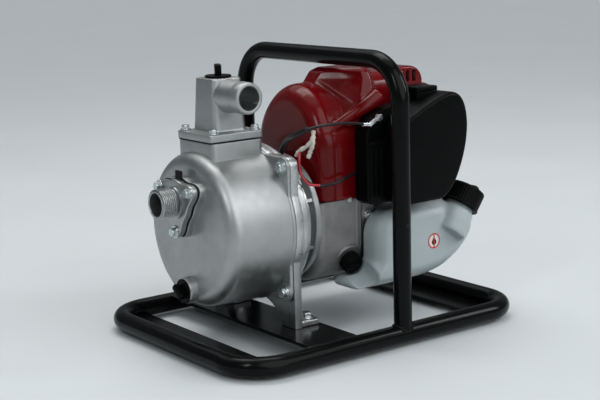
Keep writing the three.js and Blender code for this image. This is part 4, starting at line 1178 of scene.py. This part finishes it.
def make_air_cleaner():
    outline = cleaner_outline(CLEANER_LOW.x)
    shell = slab(outline, "y", CLEANER_HIGH.y, CLEANER_LOW.y, 0.6, 5, steps=7)
    hollow = slab(offset(outline, 3), "y", CLEANER_HIGH.y + 1, CLEANER_LOW.y + 3, 0.1)
    cover = fused("air_filter_cover", [shell], [hollow])
    dress(cover, BLACK_PLASTIC, "air_cleaner_cover", "air_cleaner_cover", 40)
    x0, x1 = across(offset(outline, 5), 163)
    band = slab(rounded_rect(x0, 159, x1, 163, 1.8, 3), "y", CLEANER_LOW.y + 0.6,
            CLEANER_LOW.y + 0.05, 0.1, 0.3)
    rest = plate(80.5, -97.5, 110.5, -88.8, 1.5, "z", 260, CLEANER_HIGH.z + 0.2, 0.2)
    piece("cover_face_details", [band, rest], BLACK_PLASTIC, body="air_cleaner_cover")

    box = slab(cleaner_outline(CASE_LOW.x), "y", CASE_HIGH.y, CASE_LOW.y, 3, 0.6)
    ear = plate(80, 258, 111, CASE_HIGH.z + 0.2, 2, "y", CASE_LOW.y, -66.5, 0.8)
    ledge = [(16, 219), (40, 219), (66, 262), (36, 258), (20, 240)]
    front = CASE_LOW.y - 2
    cuts = [
        slab(offset(cleaner_outline(40), 3), "y", front, CASE_HIGH.y - 3, 0.1),
        rod(10, (71, CASE_HIGH.y + 2, 205), NEAR, 12),
        slab(ledge, "y", front, front + 7, 0.1),
    ]
    case = fused("air_filter_base", [box, ear], cuts)
    dress(case, BLACK_PLASTIC, "air_cleaner_case", smooth=40)
    foot_y, rib_y = CASE_LOW.y + 0.5, CASE_LOW.y - 1.2
    panels = [plate(x, 157, x + 5.4, 212, 1.4, "y", foot_y, rib_y, 0.2, 0.8)
            for x in (17.5, 25.1, 32.7)]
    panels.append(plate(16, 215, 38, 219, 1.2, "y", foot_y, rib_y - 0.4, 0.2, 0.8))
    piece("case_side_ribs", panels, BLACK_PLASTIC)
    low, high = span("cleaner_latch")
    latch = plate(low.x, low.y, high.x, high.y, 2, "z", low.z, high.z, 0.4, 1.2)
    piece("filter_cover_latch", [latch], BLACK_PLASTIC, "cleaner_latch", "cleaner_latch", 40)


# ---- fuel tank and caps


def tank_outline():
    left = 26
    nose = TANK_LOW.x
    points = [(nose, 57), (nose + 1, 61), (left - 1, 82), (left, 86), (left, 104)]
    bend(points, (left, 138.5), (60, 138.5), 12)
    points += [(90, 138.5), (132, 138.5)]
    bend(points, (TANK_HIGH.x, 135), (TANK_HIGH.x, 104), 12)
    bend(points, (168, 78), (128, 61), 14)
    bend(points, (108, 54), (84, 54), 6)
    return points + [(66, 53.5), (50, 53), (28, 53), (nose + 5, 53)]


FUEL_AXIS = Vector((0.58, 0, 0.8146))
FUEL_SEAT = Vector((150, -88, 125.9))
TANK_SIDE_Y = -95
OIL_AXIS = Vector((0, -0.9, -0.44)).normalized()
OIL_SEAT = Vector((9, -57.8, 83.5))
OIL_CAP_R = 12.2


def make_tank():
    body = slab(tank_outline(), "y", -TANK_SIDE_Y, TANK_SIDE_Y, 18, 18, steps=8)
    shoulder = turned([(0, -30), (22, -30), (21.5, -12), (20, -3), (18, 2), (17, 3.5), (0, 3.5)],
            FUEL_SEAT, FUEL_AXIS, 72)
    saddle = plate(-10, -44.5, 210, 44.5, 10, "z", 80, 220, 0.1)
    step = plate(-10, -63, 52, 63, 8, "z", 66, 220, 0.1)
    slot = plate(-10, -46, 52, 46, 4, "z", 30, 220, 0.1)
    room = rod(25, FUEL_SEAT + FUEL_AXIS * 3.5, FUEL_AXIS, 40)
    filler_room = rod(OIL_CAP_R + 2.5, OIL_SEAT, OIL_AXIS, 45)
    tank = moulded(object_from("fuel_tank_moulding", [body, shoulder]), 1.5)
    combine(tank, difference=[saddle, step, slot, room, filler_room])
    moulded(tank, 1.5, 12)
    combine(tank, union=[rod(17, FUEL_SEAT - FUEL_AXIS * 10, FUEL_AXIS, 20, 72)])
    dress(tank, TANK_WHITE, "fuel_tank", smooth=50)
    make_tank_sticker()


def make_tank_sticker():
    """A plain red ring with a bar across a drop: no naked flames near the fuel."""
    x, y, z = 106, TANK_SIDE_Y, 96
    ring = turned([(7.4, 0), (9.0, 0), (9.0, 0.3), (7.4, 0.3), (7.4, 0)], (x, y, z), NEAR, 64)
    disc = rod(9.1, (x, y + 0.1, z), NEAR, 0.25, 64)
    half, reach = 0.9, 7.6
    bar = slab([(x - half, z - reach), (x + half, z - reach), (x + half, z + reach),
            (x - half, z + reach)], "y", y, y - 0.3, 0.05)
    drop = [(x + 3.4 * sin(0.2 * i), z - 1.6 - 3.4 * cos(0.2 * i)) for i in range(-11, 12)]
    drop.append((x, z + 5.4))
    flame = slab(drop, "y", y, y - 0.28, 0.05)
    piece("tank_sticker_disc", [disc], STICKER_WHITE)
    piece("tank_sticker_ring", [ring, bar], STICKER_RED)
    piece("tank_sticker_drop", [flame], BLACK_PLASTIC)


def ribbed(count, depth, low, high):
    def reach(radius, height, angle):
        if not low < height < high:
            return radius
        return radius - depth * max(0.0, cos(angle * count)) ** 2
    return reach


def make_caps():
    base = FUEL_SEAT + FUEL_AXIS * 4
    rim = turned([(0, 10), (17.4, 10), (17.4, 0), (21.8, 0), (22.5, 0.8), (22.6, 2), (22.0, 2.9),
            (22.0, 3.0), (22.0, 21), (22.0, 22.2), (21.2, 23.8), (19.8, 24.4), (16.4, 24.4),
            (15.8, 23.4), (0, 23.4)], base, FUEL_AXIS, 180, ribbed(36, 0.6, 2.95, 22))
    grip_side = Vector(FAR)
    grip_across = FUEL_AXIS.cross(grip_side)
    rings = []
    for angle in evenly(pi, 6):
        outline = offset(rounded_rect(-15.2, 22, 15.2, 28.2, 2), 1.2 * (1 - sin(angle)))
        centre = base - grip_across * 4.2 * cos(angle)
        rings.append([centre + grip_side * a + FUEL_AXIS * b for a, b in outline])
    piece("fuel_filler_cap", [rim, loft(rings)], BLACK_PLASTIC, "fuel_cap", "fuel_cap", 40)

    cap = turned([(0, 0), (11, 0), (OIL_CAP_R, 1), (OIL_CAP_R, 1.5), (OIL_CAP_R, 11), (11.4, 12.1),
            (9.4, 12.1), (9.0, 11.3), (0, 11.3)], OIL_SEAT, OIL_AXIS, 144,
            ribbed(24, 0.9, 1.2, 11.2))
    bar = plate(-9, -2.4, 9, 2.4, 1.6, "z", 10.5, 13.6, 0.2, 0.8)
    turn = OIL_AXIS.to_track_quat("Z", "Y")
    bar = ([OIL_SEAT + turn @ Vector(v) for v in bar[0]], bar[1])
    piece("oil_filler_cap", [cap, bar], BLACK_PLASTIC, "oil_cap", "oil_cap", 40)
    boss = turned([(0, -22), (20.5, -22), (19, -7), (17.6, -1.4), (16.6, -0.6), (0, -0.6)],
            OIL_SEAT, OIL_AXIS, 64)
    piece("oil_filler_boss", [boss], GREY_CASTING)


# ---- cables and wires


def make_cables():
    sleeve_route = [(-50.5, -12, 199.5), (-51, -20, 212), (-54, -34, 224.5), (-58, -54, 232),
            (-58, -77, 240.5)]
    inner_route = [(-58, -77, 240.5), (-46, -85, 244), (-20, -89, 244.5), (3, -93, 242),
            (13, -93.6, 240)]
    sleeve = wire(sleeve_route, 3.2, 24)
    inner = wire(inner_route, 1.6, 20)
    end = Vector(inner_route[-1])
    piece("throttle_cable_jacket", [sleeve, inner], CABLE_BLACK, "throttle_cable", smooth=60)
    ferrule = turned([(0, 0), (2.3, 0), (2.3, 4), (1.9, 4.4), (1.9, 6), (2.6, 6.4), (2.6, 8.4),
            (1.4, 9), (0, 9)], end - Vector((9, 0.4, -1.2)), (1, -0.06, -0.1), 32)
    piece("cable_ferrule", [ferrule], CHROME)

    black = [(-60, -66, 214), (-63, -66, 203), (-62, -70, 190), (-54, -74, 181), (-44, -78, 177.5),
            (-24, -79, 178), (-6, -76, 181.5), (11, -72, 184)]
    red = [(-62, -66, 217), (-65, -70, 210), (-66, -71, 200), (-64.5, -73, 190), (-58, -77, 181),
            (-46, -80, 178.6)]
    piece("stop_switch_lead", [wire(black, 1.7, 16)], CABLE_BLACK, "stop_lead", smooth=60)
    piece("stop_switch_earth_wire", [wire(red, 1.3, 16)], RED_WIRE, smooth=60)

    def woven(t):
        return 2.3 + 0.35 * sin(t * 31) + 0.2 * sin(t * 83)

    sleeves = [
        wire([(-52, -79, 239), (-54, -80, 231), (-58, -76, 223), (-62, -67, 217), (-63, -62, 211)],
             woven, 18),
        wire([(-53, -80, 233), (-55, -81, 224), (-58, -80, 216), (-60, -79, 210)], woven, 18),
    ]
    piece("wire_loom_sleeves", sleeves, WHITE_SLEEVE, smooth=60)


# ---- recoil starter


def make_recoil():
    low, high = span("recoil_cover")
    x0, x1 = low.x, high.x
    outer = (high.z - low.z) / 2
    depth = x1 - x0
    profile = [(0, depth - 3), (outer - 10, depth - 3), (outer - 3, depth - 10), (outer - 3, 0),
            (outer, 0), (outer, depth - 9)]
    for angle in evenly(pi / 2, 6)[1:]:
        profile.append((outer - 9 + 9 * cos(angle), depth - 9 + 9 * sin(angle)))
    profile += [(22, depth), (20, depth - 1.5), (0, depth - 1.5)]
    cup = turned(profile, (x0, 0, AXIS_Z), ALONG, 120)
    nose = plate(10, 153, 45, 167, 4, "x", 128, 144, 1.5)
    cuts = [rod(2.6, (136, 5, 160), FAR, 45, 32),
            rod(outer - 3.5, (x0 - 1, 0, AXIS_Z), ALONG, 32, 64)]
    vent = rounded_rect(-5.5, -1.7, 5.5, 1.7, 1.6, 4)
    for outward, sideways in spokes(16):
        centre = Vector((0, 0, AXIS_Z)) + outward * 28
        cuts.append(loft([[centre + Vector((x, 0, 0)) + outward * a + sideways * b for a, b in vent]
                for x in (x1 - 6, x1 + 2)]))
    obj = fused("recoil_starter_cover", [cup, nose], cuts)
    dress(obj, BLACK_PLASTIC, "recoil_cover", smooth=35)

    rope = sweep([(136, 34 + i * 0.5, 160) for i in range(29)], 1.7, 16)
    cord = object_from("starter_rope", [rope])
    coat(cord.data, WHITE_SLEEVE)
    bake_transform(cord)
    rings = []
    circle = [polar(1, angle) for angle in around(32)]
    for t in evenly(1, 24):
        height = -21 + 42 * t
        edge = sin(pi * t) ** 0.35
        flare = 5.0 + 1.0 * cos(2 * pi * t)
        rings.append([Vector((136 + x * edge * flare, 58 + y * edge * flare, 160 + height))
                for x, y in circle])
    stem = turned([(0, 0), (4.2, 0), (5, 1), (5.4, 10), (0, 10)], (136, 46, 160), FAR, 40)
    piece("starter_pull_grip", [loft(rings), stem], RUBBER, "starter_grip", "starter_grip", 50)


# ---- parts whose CAD shape is kept


def soften_cad(obj, width):
    """Rounds the rims of a CAD node in its shading mesh only; the node itself stays as it is."""
    weld = obj.modifiers.new("weld", "WELD")
    weld.merge_threshold = 1e-5
    bevel = obj.modifiers.new("rims", "BEVEL")
    bevel.width = width * MM
    bevel.segments = 2
    bevel.limit_method = "ANGLE"
    bevel.angle_limit = radians(38)
    obj.modifiers.new("shading", "WEIGHTED_NORMAL")


def finish_cad_nodes():
    wide = {"muffler": 2.5, "carburettor": 0.8}
    for row in frame["record"]["subparts"]:
        node = frame["nodes"][row["node"]]
        coat(node.data, FINISH_OF[row["material_slot"]])
        node.data.normals_split_custom_set([(0, 0, 0)] * len(node.data.loops))
        if not node.hide_render:
            soften_cad(node, wide.get(row["node"], 0.4))


# ---- the scene


make_camera()
make_studio()
make_frame()
make_casing()
make_suction_port()
make_tower()
make_bolts()
make_plugs()
make_bracket()
make_engine_castings()
make_hood()
make_rear_cover()
make_air_cleaner()
make_tank()
make_caps()
make_cables()
make_recoil()
finish_cad_nodes()
bpy.context.scene.view_settings.view_transform = "Standard"

[[list(corner) for corner in box] for box in (CAD_BOX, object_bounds())]
